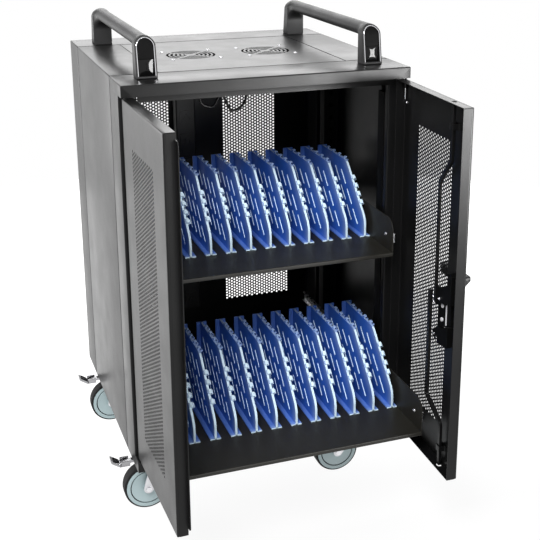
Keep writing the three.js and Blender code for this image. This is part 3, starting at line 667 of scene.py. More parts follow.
def make_unevenness():
    """Unevenness: broad noise, most of which lies in SPREAD, carried over to a given range."""
    group, given, result = shader_group(
        "soft_unevenness", {"Scale": 7, "Low": 0.4, "High": 0.5}, ["Value"],
    )
    noise = noise_in(group, given.outputs["Scale"], 4)
    value = carried_over(group, noise.outputs["Fac"], SPREAD)
    group.links.new(given.outputs["Low"], value.node.inputs["To Min"])
    group.links.new(given.outputs["High"], value.node.inputs["To Max"])
    group.links.new(value, result.inputs["Value"])
    return group


GRAIN = make_grain()
UNEVEN = make_unevenness()
print("effects", GRAIN.name, UNEVEN.name)

# %% [markdown]
# A finish is one Principled shader. Its colour runs between two near shades with the broad noise, its
# roughness does the same, and the grain feeds a Bump. What is the same all over, such as the metallic
# value, is set on the shader's own socket.

# %% Making a finish


def effect(tree, group, **values):
    """Place a shared effect in a material with its own values."""
    node = tree.nodes.new("ShaderNodeGroup")
    node.node_tree = group
    for title, value in values.items():
        node.inputs[title].default_value = value
    return node


def blend_colours(tree, factor, dark, light):
    """A colour between two shades, by a factor socket."""
    mix = tree.nodes.new("ShaderNodeMix")
    mix.data_type = "RGBA"
    mix.inputs["A"].default_value = (*dark, 1)
    mix.inputs["B"].default_value = (*light, 1)
    tree.links.new(factor, mix.inputs["Factor"])
    return mix


GRAIN_DEPTH = 0.0002
GLOSS_SCALE = 2.3


def finish(name, dark, light, rough, metallic=0, grain=(900, 0.1), broad=7, ior=1.5):
    """A material whose shade and roughness drift between two values, with a fine grain."""
    material = bpy.data.materials.new(name)
    material.use_nodes = True
    tree = material.node_tree
    shader = tree.nodes["Principled BSDF"]
    shader.inputs["Metallic"].default_value = metallic
    shader.inputs["IOR"].default_value = ior
    shade = effect(tree, UNEVEN, Scale=broad, Low=0, High=1)
    colour = blend_colours(tree, shade.outputs["Value"], dark, light)
    tree.links.new(colour.outputs["Result"], shader.inputs["Base Color"])
    gloss = effect(tree, UNEVEN, Scale=GLOSS_SCALE * broad, Low=rough[0], High=rough[1])
    tree.links.new(gloss.outputs["Value"], shader.inputs["Roughness"])
    bump = tree.nodes.new("ShaderNodeBump")
    bump.inputs["Strength"].default_value = grain[1]
    bump.inputs["Distance"].default_value = GRAIN_DEPTH
    fine = effect(tree, GRAIN, Scale=grain[0])
    tree.links.new(fine.outputs["Height"], bump.inputs["Height"])
    tree.links.new(bump.outputs["Normal"], shader.inputs["Normal"])
    material["colour_node"] = colour.name
    return material


# %% The finishes


def grey(value):
    """A neutral shade."""
    return (value, value, value * 1.03)


powder_black = finish("powder_black", grey(0.004), grey(0.006), (0.28, 0.34), grain=(1400, 0.2), ior=1.31)
tray_black = finish(
    "tray_black", (0.016, 0.015, 0.012), (0.02, 0.019, 0.016), (0.42, 0.5), grain=(1400, 0.2), ior=1.33,
)
matt_black = finish("matt_black", grey(0.002), grey(0.003), (0.55, 0.65), grain=(2200, 0.3), ior=1.15)
satin_grip = finish("satin_grip", grey(0.016), grey(0.022), (0.42, 0.5), grain=(2200, 0.2), ior=1.36)
gloss_black = finish("gloss_black", grey(0.002), grey(0.003), (0.05, 0.09), grain=(300, 0.02), ior=1.33)
bright_chrome = finish("bright_chrome", grey(0.72), grey(0.8), (0.08, 0.16), 1, grain=(500, 0.03))
zinc_plate = finish("zinc_plate", grey(0.55), grey(0.68), (0.22, 0.36), 1, grain=(700, 0.15), broad=30)
moulded_black = finish("moulded_black", grey(0.005), grey(0.007), (0.4, 0.5), grain=(1600, 0.3), ior=1.4)
cable_black = finish("cable_black", grey(0.003), grey(0.005), (0.22, 0.3), grain=(1200, 0.1), ior=1.35)
pale_zinc = finish("pale_zinc", grey(0.62), grey(0.72), (0.4, 0.5), grain=(900, 0.15), broad=30)
pedal_steel = finish("pedal_steel", grey(0.26), grey(0.42), (0.16, 0.26), 1, grain=(700, 0.1), broad=30)
tread_rubber = finish("tread_rubber", grey(0.005), grey(0.008), (0.6, 0.75), grain=(800, 0.4), ior=1.25)
wheel_grey = finish("wheel_grey", (0.3, 0.385, 0.4), (0.34, 0.43, 0.445), (0.4, 0.5), grain=(900, 0.12))
print("finishes", [material.name for material in bpy.data.materials if material.get("colour_node")])

# %% [markdown]
# Most of the cabinet and the doors is sheet with one black coat. A piece of it needs only its name, its
# parts and the node that it stands for.

# %% Coated sheet


def coated(name, parts, nodes=(), body="cabinet", **edges):
    """A piece of powder-coated sheet, on the cabinet unless it rides on another body."""
    return piece(name, parts, powder_black, body, "black_powder_coat", nodes, **edges)


# %% [markdown]
# The dividers are moulded in blue. Their cut edges, hooks and slots are painted a much paler blue than the
# broad faces: a painted highlight for the light that falls on the edges. Each divider therefore carries a
# value on its faces that says how much painted highlight it gets, and the finish blends to a pale blue there.
# It also carries its own measures from its front foot, so that a painted sheen can fade from its front edge
# inwards.
# The fade is the cube of a straight line, which drops fast at first and then runs out softly.

# %% The divider's blue and its painted highlight
# Painted highlight: the faces that this value marks turn pale blue, as if the lamps lit them.
EDGE_HIGHLIGHT = "painted_edge_highlight"
PLATE_PLACE = "plate_place"
DIVIDER_FRONT = 40
# Painted sheen: how far behind the front edge and slope the face is painted paler, and how much.
SHEEN_REACH = 45
SHEEN_START = 0.34
SHEEN_POWER = 3
DIAGONAL = math.sqrt(0.5)
HIGHLIGHT_BLUE = (0.68, 0.86, 1)
divider_blue = finish(
    "divider_blue", (0.026, 0.11, 0.48), (0.036, 0.145, 0.6), (0.4, 0.5), grain=(1200, 0.08), broad=14,
    ior=1.24,
)
blue_tree = divider_blue.node_tree


def blue_attribute(name):
    """An attribute of the divider's mesh, as a node of its finish."""
    node = blue_tree.nodes.new("ShaderNodeAttribute")
    node.attribute_name = name
    return node


parted = blue_tree.nodes.new("ShaderNodeSeparateXYZ")
blue_tree.links.new(blue_attribute(PLATE_PLACE).outputs["Vector"], parted.inputs["Vector"])
back, up = parted.outputs["Y"], parted.outputs["Z"]
# Painted sheen: the face's distance behind its front edge or its slope sets how pale it is painted.
past_slope = maths(blue_tree, "ADD", maths(blue_tree, "SUBTRACT", back, up), DIVIDER_FRONT)
behind_slope = maths(blue_tree, "MULTIPLY", past_slope, DIAGONAL)
behind_edge = maths(blue_tree, "MINIMUM", back, behind_slope)
sheen_fade = carried_over(blue_tree, behind_edge, (0, SHEEN_REACH), (1, 0))
face_sheen = maths(blue_tree, "MULTIPLY", maths(blue_tree, "POWER", sheen_fade, SHEEN_POWER), SHEEN_START)
# The painted highlight is the larger of the edge value and the painted sheen.
highlight_amount = maths(blue_tree, "MAXIMUM", blue_attribute(EDGE_HIGHLIGHT).outputs["Fac"], face_sheen)
highlight_mix = blend_colours(blue_tree, highlight_amount, (0, 0, 0), HIGHLIGHT_BLUE)
body_colour = blue_tree.nodes[divider_blue["colour_node"]]
blue_tree.links.new(body_colour.outputs["Result"], highlight_mix.inputs["A"])
blue_tree.links.new(highlight_mix.outputs["Result"], blue_tree.nodes["Principled BSDF"].inputs["Base Color"])
print("edge value", EDGE_HIGHLIGHT)

# %% [markdown]
# ## The fan lead
# One cable joins the two fans and hangs down between them in two loops. A real cable bends evenly, so its
# line is a smooth curve through a few points, and a round section is carried along it.

# %% A smooth line through points


def through(points, steps):
    """Centripetal Catmull-Rom: each knot t grows by the root of the distance, blended over four points."""
    points = np.asarray(points, float)
    points = np.vstack([2 * points[0] - points[1], points, 2 * points[-1] - points[-2]])
    line = []
    for p0, p1, p2, p3 in zip(points, points[1:], points[2:], points[3:]):
        t1 = np.linalg.norm(p1 - p0) ** 0.5
        t2 = t1 + np.linalg.norm(p2 - p1) ** 0.5
        t3 = t2 + np.linalg.norm(p3 - p2) ** 0.5
        t = np.linspace(t1, t2, steps, endpoint=False)[:, None]
        a1 = ((t1 - t) * p0 + t * p1) / t1
        a2 = ((t2 - t) * p1 + (t - t1) * p2) / (t2 - t1)
        a3 = ((t3 - t) * p2 + (t - t2) * p3) / (t3 - t2)
        b1 = ((t2 - t) * a1 + t * a2) / t2
        b2 = ((t3 - t) * a2 + (t - t1) * a3) / (t3 - t1)
        line.append(((t2 - t) * b1 + (t - t1) * b2) / (t2 - t1))
    return np.vstack([*line, points[-2:-1]])


# %% Fan lead
LEAD_RADIUS = 3
LEAD_Y = 350
LEAD_TOP = 926.9
LEAD_END = 35.5
LEAD_OUT = 51.5
LEAD_SHALLOW = 103
LEAD_DEEP = 115
LEAD_STRAIGHT = 12
lead_line = through([
    (-LEAD_END, 0),
    (-LEAD_END, -LEAD_STRAIGHT),
    (-LEAD_OUT, -LEAD_SHALLOW / 2),
    (-LEAD_OUT, -0.9 * LEAD_SHALLOW),
    (-0.7 * LEAD_END, -LEAD_SHALLOW),
    (-0.1 * LEAD_END, -0.75 * LEAD_SHALLOW),
    (0.6 * LEAD_END, -LEAD_DEEP),
    (LEAD_OUT, -0.85 * LEAD_DEEP),
    (LEAD_OUT, -LEAD_DEEP / 2),
    (LEAD_END, -LEAD_STRAIGHT),
    (LEAD_END, 0),
], 16)
lead_path = along("xzy", lead_line[:, 0], LEAD_TOP + lead_line[:, 1], LEAD_Y)
fan_lead = piece("fan_lead_cable", [tube(lead_path, LEAD_RADIUS, 16)], cable_black, "cabinet", "black_cable",
                 ["fan_lead"])

# %% [markdown]
# ## The cabinet
# The measures below repeat those of the CAD model. The front frame is a hood with strips down both sides;
# side panels and a rear frame follow, with a fine gap at each seam. All are folded from sheet.

# %% Cabinet measures
HALF_WIDTH = 300
DEPTH = 600
TOP = 954
SIDE_FOOT = 137.8
HEADER_LOW = 930.5
FRONT_SEAM = (111.4, 112.6)
REAR_SEAM = (494.4, 495.6)
SEAM_FLANGE = 14
JAMB_Y = 30
OPENING_HALF = 264
FAN_EDGE = (202.4, 203.6)
EDGE_ROUND = 2.6
LEDGE = 24
LEDGE_LOW = 914.5
PAN_ROUND = 1.5

# %% Front frame
hood_strip = strip(
    [(FRONT_SEAM[0], SEAM_FLANGE), (FRONT_SEAM[0], 0), (0, 0), (0, TOP - HEADER_LOW)], -1,
)
jamb = folded(
    [(HALF_WIDTH - SEAM_FLANGE, FRONT_SEAM[0]), (HALF_WIDTH, FRONT_SEAM[0]), (HALF_WIDTH, JAMB_Y),
     (OPENING_HALF, JAMB_Y), (OPENING_HALF, JAMB_Y + SEAM_FLANGE)],
    -1, "xyz", SIDE_FOOT, HEADER_LOW,
)
coated(
    "front_frame_sheet",
    [
        carried(hood_strip, arch(-HALF_WIDTH, HALF_WIDTH, HEADER_LOW, TOP, EDGE_ROUND), "xzy", False),
        folded([(LEDGE, LEDGE_LOW), (LEDGE, HEADER_LOW), (SHEET, HEADER_LOW)], -1, "yzx", -OPENING_HALF,
               OPENING_HALF),
        slab(-HALF_WIDTH + SHEET, HALF_WIDTH - SHEET, LEDGE + SHEET, JAMB_Y + SHEET, HEADER_LOW,
             HEADER_LOW + SHEET),
        jamb,
        mirrored(jamb),
    ],
    ["front_frame"],
)

# %% Side panels
panel_strip = strip(
    [(FRONT_SEAM[1], SEAM_FLANGE), (FRONT_SEAM[1], 0), (REAR_SEAM[0], 0), (REAR_SEAM[0], SEAM_FLANGE)], 1,
)
panel_path = np.vstack([
    end_station((FAN_EDGE[1], TOP), (0, -1)),
    corner_stations((HALF_WIDTH, TOP), (-1, -1), 90, 0, EDGE_ROUND),
    end_station((HALF_WIDTH, SIDE_FOOT), (-1, 0)),
])
panel_parts = [
    carried(panel_strip, panel_path, "xzy", False),
    slab(FAN_EDGE[1], FAN_EDGE[1] + SHEET, FRONT_SEAM[1] + SHEET, REAR_SEAM[0] - SHEET, TOP - SEAM_FLANGE,
         TOP - SHEET),
]
for side, turn in SIDES.items():
    coated(f"{side}_side_sheet", [turn(part) for part in panel_parts], [f"{side}_side_panel"])

# %% Rear frame
rear_strip = strip([(REAR_SEAM[1], SEAM_FLANGE), (REAR_SEAM[1], 0), (DEPTH, 0)], 1)
rear_path = arch(-HALF_WIDTH, HALF_WIDTH, SIDE_FOOT, TOP, EDGE_ROUND)
coated("rear_frame_sheet", [carried(rear_strip, rear_path, "xzy", False)], ["rear_frame"])

# %% [markdown]
# The middle of the top is a shallow pan with two round grilles. Each grille has five ring slots broken by
# four diagonal spokes. The slots are outlines of two arcs each, cut out of the flat plate; the rim of the
# pan is a strip carried round it. Four bright screws hold each fan from above.

# %% Fan panel
FAN_CENTRES = (-85.5, 85.5)
FAN_Y = 300
FAN_SCREW = 52.5
FAN_SCREW_HEAD = (4.2, 2.2)
LIP = 6


def ring_slots(x, rings=5, first=12, width=5, rib=4.2, spoke=6):
    """Slot outlines: an outer and an inner arc, each ending half a spoke's width from the diagonal."""
    slots = []
    for ring in range(rings):
        inner = first + ring * (width + rib)
        outer = inner + width
        for quarter in (0, 90, 180, 270):
            near, far = (45 - math.degrees(math.asin(spoke / 2 / radius)) for radius in (inner, outer))
            slots.append(np.vstack([
                arc((x, FAN_Y), outer, quarter - far, quarter + far, 10),
                arc((x, FAN_Y), inner, quarter + near, quarter - near, 10),
            ]))
    return slots


pan_rim = strip([(TOP, LIP), (TOP, 0), (TOP - SEAM_FLANGE, 0)], -1)
pan_low, pan_high = FRONT_SEAM[1], REAR_SEAM[0]
grille_plate = plate(
    [(-FAN_EDGE[0] + LIP, pan_low + LIP), (FAN_EDGE[0] - LIP, pan_low + LIP),
     (FAN_EDGE[0] - LIP, pan_high - LIP), (-FAN_EDGE[0] + LIP, pan_high - LIP)],
    [slot for x in FAN_CENTRES for slot in ring_slots(x)], "xyz", TOP - SHEET, TOP,
)
pan_path = rectangle(-FAN_EDGE[0], FAN_EDGE[0], pan_low, pan_high, 1)
coated("fan_panel_sheet", [grille_plate, carried(pan_rim, pan_path, "xyz", True)], ["fan_panel"])
fan_screws = [
    screw("xyz", (x + dx, FAN_Y + dy, TOP), *FAN_SCREW_HEAD)
    for x in FAN_CENTRES for dx in (-FAN_SCREW, FAN_SCREW) for dy in (-FAN_SCREW, FAN_SCREW)
]
piece("fan_screws", fan_screws, zinc_plate, "cabinet", "castor_zinc")

# %% [markdown]
# The fans themselves sit under the grilles and are seen only through the slots. Their CAD solids already
# have the right frame, struts and blades, so they stay and only get the moulded finish.

# %% Fans
for side in ("left", "right"):
    for part in ("fan_housing", "fan_rotor"):
        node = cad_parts[f"{side}_{part}"]
        node.data.materials.clear()
        node.data.materials.append(moulded_black)
print("fans keep their solids")

# %% [markdown]
# The rear panel closes the back inside the rear frame. Two columns of round holes let the warm air out,
# wide beside the lower tray and narrower above. The solid middle carries the power strip on its inside.
# The mains inlet is a moulded cup with three flat pins, held by two screws.

# %% Rear panel
REAR_FACE = 598
PANEL_HALF = 298.2
PANEL_HIGH = 952.2
ZONE_LOW = 242.5
UPPER_ZONE_LOW = 570.5
ZONE_NEAR = 69
REAR_LIP = 12
INLET = (-200, 197.8)
WINDOW_HALF = (23, 13)
rear_zones = []
for low, rows, columns in ((ZONE_LOW, 38, 25), (UPPER_ZONE_LOW, 35, 20)):
    rear_zones.append((ZONE_NEAR, columns, low, rows))
    rear_zones.append((-ZONE_NEAR - columns * COLUMN_PITCH, columns, low, rows))
inlet_window = (
    INLET[0] - WINDOW_HALF[0], INLET[0] + WINDOW_HALF[0],
    INLET[1] - WINDOW_HALF[1], INLET[1] + WINDOW_HALF[1],
)
rear_sheet = perforated(
    (-PANEL_HALF + LIP, PANEL_HALF - LIP, SIDE_FOOT + LIP, PANEL_HIGH - LIP), rear_zones, "xzy",
    REAR_FACE, REAR_FACE - PUNCHED_SHEET, [inlet_window],
)
rear_rim = strip([(REAR_FACE, LIP), (REAR_FACE, 0), (REAR_FACE - REAR_LIP, 0)], -1)
rear_edge = rectangle(-PANEL_HALF, PANEL_HALF, SIDE_FOOT, PANEL_HIGH, PAN_ROUND)
coated("rear_panel_sheet", [rear_sheet, carried(rear_rim, rear_edge, "xzy", True)], ["rear_panel"], sharp=50)

# %% Mains inlet
WELL_FLOOR = REAR_FACE - 21
FLANGE_FACE = REAR_FACE + 1.6
PIN_TIP = REAR_FACE - 4
PIN_HALF = (1, 3)
PIN_PLACES = ((-7, -2), (0, 3), (7, -2))
FLANGE_HALF = (25, 15)
FLANGE_SCREW = 20.5
FLANGE_SCREW_HEAD = (2.2, 0.35)
CUP_HALF = (22.5, 12.5)
WELL_HALF = (16, 9.5)
inlet_flange = about(INLET, FLANGE_HALF, 3)
inlet_body = about(INLET, CUP_HALF, 2)
inlet_well = about(INLET, WELL_HALF, 3)
piece(
    "mains_inlet_cup",
    [plate(inlet_flange, [inlet_well], "xzy", REAR_FACE, FLANGE_FACE),
     plate(inlet_body, [inlet_well], "xzy", WELL_FLOOR, REAR_FACE),
     plate(inlet_body, [], "xzy", WELL_FLOOR - 2, WELL_FLOOR)],
    moulded_black, "cabinet", "black_plastic", bevel=0.4,
)
inlet_pins = [
    slab(INLET[0] + dx - PIN_HALF[0], INLET[0] + dx + PIN_HALF[0], WELL_FLOOR, PIN_TIP,
         INLET[1] + dz - PIN_HALF[1], INLET[1] + dz + PIN_HALF[1])
    for dx, dz in PIN_PLACES
]
inlet_pins += [
    screw("xzy", (INLET[0] + dx, INLET[1], FLANGE_FACE), *FLANGE_SCREW_HEAD)
    for dx in (-FLANGE_SCREW, FLANGE_SCREW)
]
piece("mains_inlet_pins", inlet_pins, bright_chrome, "cabinet", "castor_zinc", bevel=0.2)

# %% [markdown]
# The base is a flat pan whose front edge turns up into a low sill. Four thick pads under it take the
# castors, each with four bolts.

# %% Base pan
FLOOR_LOW = 136
SILL_TOP = 161
SILL_BACK = 29.7
PAD_HALF = (50, 43)
PAD_BOLTS = (40, 33)
PAD_BOLT_HEAD = (5.5, 3.2)
CASTOR_PIVOTS = {
    "front_left": (-222, 92),
    "front_right": (222, 92),
    "rear_left": (-222, 508),
    "rear_right": (222, 508),
}
sill = folded(
    [(SILL_BACK, SILL_TOP), (0, SILL_TOP), (0, FLOOR_LOW), (DEPTH, FLOOR_LOW)],
    1, "yzx", -HALF_WIDTH + SHEET, HALF_WIDTH - SHEET,
)
sill_ends = [
    slab(side * HALF_WIDTH, side * (HALF_WIDTH - SHEET), near, far, FLOOR_LOW, high)
    for near, far, high in ((0, SILL_BACK, SILL_TOP), (SILL_BACK, DEPTH, FLOOR_LOW + SHEET))
    for side in (-1, 1)
]
pads = [
    extruded(about(pivot, PAD_HALF, 5), "xyz", PAD_BOTTOM, FLOOR_LOW) for pivot in CASTOR_PIVOTS.values()
]
coated("base_sheet", [sill, *sill_ends, *pads], ["base_pan"], bevel=0.5)
pad_bolts = [
    hex_bolt("xyz", (x + dx, y + dy, PAD_BOTTOM), *PAD_BOLT_HEAD, -1)
    for x, y in CASTOR_PIVOTS.values() for dx in (-PAD_BOLTS[0], PAD_BOLTS[0])
    for dy in (-PAD_BOLTS[1], PAD_BOLTS[1])
]
piece("pad_bolts", pad_bolts, zinc_plate, "cabinet", "castor_zinc")

# %% [markdown]
# Inside, two posts on each side carry the slides. Each post is a channel with a column of square rack
# holes on its front. The fixed members of the slides are zinc channels that hold the trays' own members.

# %% Rack posts
POST_INNER = 263
POST_OUTER = 298.2
POST_FRONTS = (48, 385)
POST_DEPTH = 30
POST_TOP = 894
RACK_HOLE = 9.5
RACK_HOLE_X = 280
RACK_PITCH = 30
RACK_ENDS = (30, 20)
rack_holes = [
    about((RACK_HOLE_X, z), (RACK_HOLE / 2, RACK_HOLE / 2), 1, 2)
    for z in np.arange(SIDE_FOOT + RACK_ENDS[0], POST_TOP - RACK_ENDS[1], RACK_PITCH)
]
post_face = [(POST_INNER, SIDE_FOOT), (POST_OUTER, SIDE_FOOT), (POST_OUTER, POST_TOP), (POST_INNER, POST_TOP)]
post_parts = []
for front in POST_FRONTS:
    post_parts.append(plate(post_face, rack_holes, "xzy", front, front + SHEET))
    post_parts.append(folded(
        [(POST_INNER, front + SHEET), (POST_INNER, front + POST_DEPTH), (POST_OUTER, front + POST_DEPTH),
         (POST_OUTER, front + SHEET)],
        -1, "xyz", SIDE_FOOT, POST_TOP,
    ))
for side, turn in SIDES.items():
    piece(f"{side}_rack_posts", [turn(part) for part in post_parts], matt_black, "cabinet",
          "black_powder_coat")

# %% Fixed slide members
TRAY_TOPS = {"upper": 567, "lower": 229}
TRAY_DEPTH = 400
SLIDE_RISE = 20
SLIDE_HIGH = 40
CHANNEL_LIP = 256.2
CHANNEL_WEB = 263.3
CHANNEL_WALL = 2.3
CHANNEL_ENDS = (36, 515)
channel_parts = []
for level in TRAY_TOPS.values():
    low, high = level + SLIDE_RISE - CHANNEL_WALL, level + SLIDE_HIGH + CHANNEL_WALL
    channel_parts.append(folded(
        [(CHANNEL_LIP, low), (CHANNEL_WEB, low), (CHANNEL_WEB, high), (CHANNEL_LIP, high)],
        1, "xzy", *CHANNEL_ENDS, thickness=1.8, radius=2,
    ))
for side, turn in SIDES.items():
    piece(f"{side}_slide_channels", [turn(part) for part in channel_parts], zinc_plate, "cabinet",
          "slide_zinc", [f"{side}_slide_carrier"])

# %% [markdown]
# The power strip stands upright behind the trays, fixed to the solid middle of the rear panel. Its bar is
# a rounded section; each socket is a raised face with three slots for the pins of a plug.

# %% Power strip
STRIP_X = -35
STRIP_LOW = 247.5
STRIP_LENGTH = 600
STRIP_FRONT = 562.2
STRIP_REAR = 596.2
STRIP_HALF = 25
SOCKETS = 10
SOCKET_HALF = 15
SOCKET_RISE = 2
SLOT_HALF = (1.2, 3.5)
SLOT_PLACES = ((-6.5, -3), (0, 5.5), (6.5, -3))
socket_faces = []
for number in range(SOCKETS):
    z = STRIP_LOW + (number + 0.5) * STRIP_LENGTH / SOCKETS
    slots = [about((STRIP_X + dx, z + dz), SLOT_HALF, 0.6, 2) for dx, dz in SLOT_PLACES]
    rim = about((STRIP_X, z), (SOCKET_HALF, SOCKET_HALF), 3)
    socket_faces.append(plate(rim, slots, "xzy", STRIP_FRONT - SOCKET_RISE, STRIP_FRONT + 0.5))
strip_section = box_outline(STRIP_X - STRIP_HALF, STRIP_X + STRIP_HALF, STRIP_FRONT, STRIP_REAR, 4)
strip_body = extruded(strip_section, "xyz", STRIP_LOW, STRIP_LOW + STRIP_LENGTH)
piece("power_strip_bar", [strip_body, *socket_faces], moulded_black, "cabinet", "black_plastic",
      ["power_strip"], bevel=0.6)

# %% [markdown]
# ## The push handles
# Each handle is one loft from its front foot to its rear foot. Across its length the outline is a half
# circle above two corners. On a post the corners stand on the cabinet. They rise through a fillet to the
# tube, where their radius has grown to that of the half circle, so that the outline is a full circle.

# %% Handle measures
HANDLE_X = 237
HANDLE_FRONT = 50
HANDLE_REAR = 550
TUBE_RADIUS = 14
CREST = 1035.98
POST_HALF = 21
POST_FOOT = 33
RIM = 4.6
RECESS = 7
CREST_STEPS = 20
FOOT_ROUND = 1.5
FACE_LEAN = 6
FACE_CURVE = 8
FACE_ROUND = 2.6
BEND_HALF = POST_HALF - 0.8
BEND_DROP = 20
BEND_REACH = 24
BEND_ROUND = 3

# %% Rings across a handle


def handle_outline(half, low, low_round, crest):
    """Outline across a handle: a half circle below the crest and two rounded corners at the bottom."""
    return np.vstack([
        arc((0, crest - half), half, 0, 180, CREST_STEPS),
        arc((low_round - half, low + low_round), low_round, 180, 270, 6),
        arc((half - low_round, low + low_round), low_round, 270, 360, 6),
    ])


def face_lean(z):
    """How far a post's front face has leant back at a height: a straight lean, then a curve at the top."""
    return (z - TOP) / FACE_LEAN + FACE_CURVE * np.clip((z - CREST + POST_HALF) / POST_HALF, 0, 1) ** 2


def face_ring(inset, depth, low=TOP, low_round=FOOT_ROUND):
    """A ring that follows a post's front face, some way in from its edge and behind its surface."""
    outline = handle_outline(POST_HALF - inset, low + inset, low_round, CREST - inset)
    return along("xzy", outline[:, 0], outline[:, 1], face_lean(outline[:, 1]) + depth)


def level_ring(half, low, low_round, y):
    """A ring in an upright plane."""
    outline = handle_outline(half, low, low_round, CREST)
    return along("xzy", outline[:, 0], outline[:, 1], y)


# %% Handle shell
face_turns = np.radians(np.linspace(0, 90, 5))
post_rings = [face_ring(RIM, RECESS), face_ring(RIM, 0.5), face_ring(RIM - 0.5, 0)]
post_rings += [
    face_ring(FACE_ROUND * (1 - math.sin(turn)), FACE_ROUND * (1 - math.cos(turn))) for turn in face_turns
]
post_rings.append(level_ring(POST_HALF, TOP, FOOT_ROUND, POST_FOOT - 1))
post_rings.append(level_ring(POST_HALF - 0.6, TOP, 2, POST_FOOT))
for turn in np.radians(np.linspace(0, 90, 8)):
    part_way = math.sin(turn / 2) / math.sin(math.pi / 4)
    half = BEND_HALF - (BEND_HALF - TUBE_RADIUS) * part_way ** 2 * (3 - 2 * part_way)
    low = CREST - 2 * TUBE_RADIUS - BEND_DROP * (1 - math.sin(turn))
    low_round = BEND_ROUND + (half - BEND_ROUND) * part_way
    behind = POST_FOOT + 0.2 + BEND_REACH * (1 - math.cos(turn))
    post_rings.append(level_ring(half, low, low_round, behind))
post_rings = np.array(post_rings)


def on_handle(rings, end):
    """Rings measured from a post's foot, put at the front end or turned round at the rear end."""
    if end == HANDLE_FRONT:
        return rings + (HANDLE_X, end, 0)
    return rings * (1, -1, 1) + (HANDLE_X, end, 0)


handle_shell = loft(np.concatenate([
    on_handle(post_rings, HANDLE_FRONT), on_handle(post_rings, HANDLE_REAR)[::-1],
]))
print("handle", len(handle_shell[1]), "faces")

# %% [markdown]
# The face of each post holds an inlay inside a thin chrome bead. Its upper part is a soft black pad, a
# little domed. Below it lies a glossy cushion that mirrors the front light. Both are lofts of rings that
# follow the leaning face and shrink towards the middle.

# %% Handle inlays
PAD_LOW = 986
PAD_ROUND = 5
pad_rings = np.array([
    face_ring(RIM + inset, depth, PAD_LOW, PAD_ROUND)
    for inset, depth in ((0, 5), (0, 1.6), (0.4, 1), (1.4, 0.6), (4, 0.3), (9, 0.1))
])
CUSHION_HIGH = PAD_LOW + 16
CUSHION_HALF = POST_HALF - RIM
CUSHION_CROWN = 3
CUSHION_SUNK = 2
CUSHION_TILT = 0.1
CUSHION_BACK = RECESS + 0.2


def cushion_ring(inset, depth):
    """A ring of the glossy cushion below the pad: a rounded rectangle, sunk more towards its foot."""
    outline = box_outline(inset - POST_HALF, POST_HALF - inset, TOP + inset, CUSHION_HIGH - inset, 3, 5)
    sunk = np.minimum(depth + CUSHION_TILT * (CUSHION_HIGH - outline[:, 1]), CUSHION_BACK)
    return along("xzy", outline[:, 0], outline[:, 1], face_lean(outline[:, 1]) + sunk)


cushion_rings = np.array([cushion_ring(RIM, CUSHION_BACK)] + [
    cushion_ring(RIM + inset, CUSHION_SUNK - CUSHION_CROWN * (1 - (1 - inset / CUSHION_HALF) ** 2))
    for inset in (0, 0.8, 2, 4, 6, 8, 10, 12, 14)
])
BEAD_RADIUS = 0.9
bead_line = np.roll(face_ring(RIM - 0.7, 0.2), 1, axis=0)[:CREST_STEPS + 3]
bead = tube(bead_line, BEAD_RADIUS, 8)
for side, turn in SIDES.items():
    piece(f"{side}_handle_shell", [turn(handle_shell)], satin_grip, "cabinet", "handle_black",
          [f"{side}_push_handle"])
    for title, (points, faces), finish_used, slot in (
        ("pads", loft(pad_rings), matt_black, "black_plastic"),
        ("cushions", loft(cushion_rings), gloss_black, "black_plastic"),
        ("beads", bead, bright_chrome, "lever_metal"),
    ):
        parts = [turn((on_handle(points, end), faces)) for end in (HANDLE_FRONT, HANDLE_REAR)]
        piece(f"{side}_handle_{title}", parts, finish_used, "cabinet", slot)

# %% [markdown]
# ## The doors
# Each door is a shallow pan: a perforated face, a fold all round it and four walls. Top and bottom walls
# of the right door are open where the lock rods slide through. Doors are measured closed, on the right;
# the left one is mirrored, and both are then swung about their hinge pins to where they stand open.

# %% Door measures
DOOR_NEAR = 0.5
DOOR_FAR = 298.5
DOOR_LOW = 164
DOOR_HIGH = 927.5
DOOR_DEPTH = 22
PIN = (291, 5)
OPEN_ANGLE = 88.5
ROD_END_X = 59
ROD_Y = 11


def swung(part, side):
    """A part of a closed door turned about its pin: (x, y) -> pin + R(angle) ((x, y) - pin)."""
    points, faces = part
    turn = math.radians(side * OPEN_ANGLE)
    pin = np.array([side * PIN[0], PIN[1]])
    turned = points.copy()
    ahead, aside = (points[:, :2] - pin).T
    turned[:, 0] = pin[0] + ahead * math.cos(turn) - aside * math.sin(turn)
    turned[:, 1] = pin[1] + ahead * math.sin(turn) + aside * math.cos(turn)
    return turned, faces


def on_door(parts, side):
    """Parts drawn on the closed right door, put where the left (-1) or right (1) door stands open."""
    return [swung(part if side > 0 else mirrored(part), side) for part in parts]


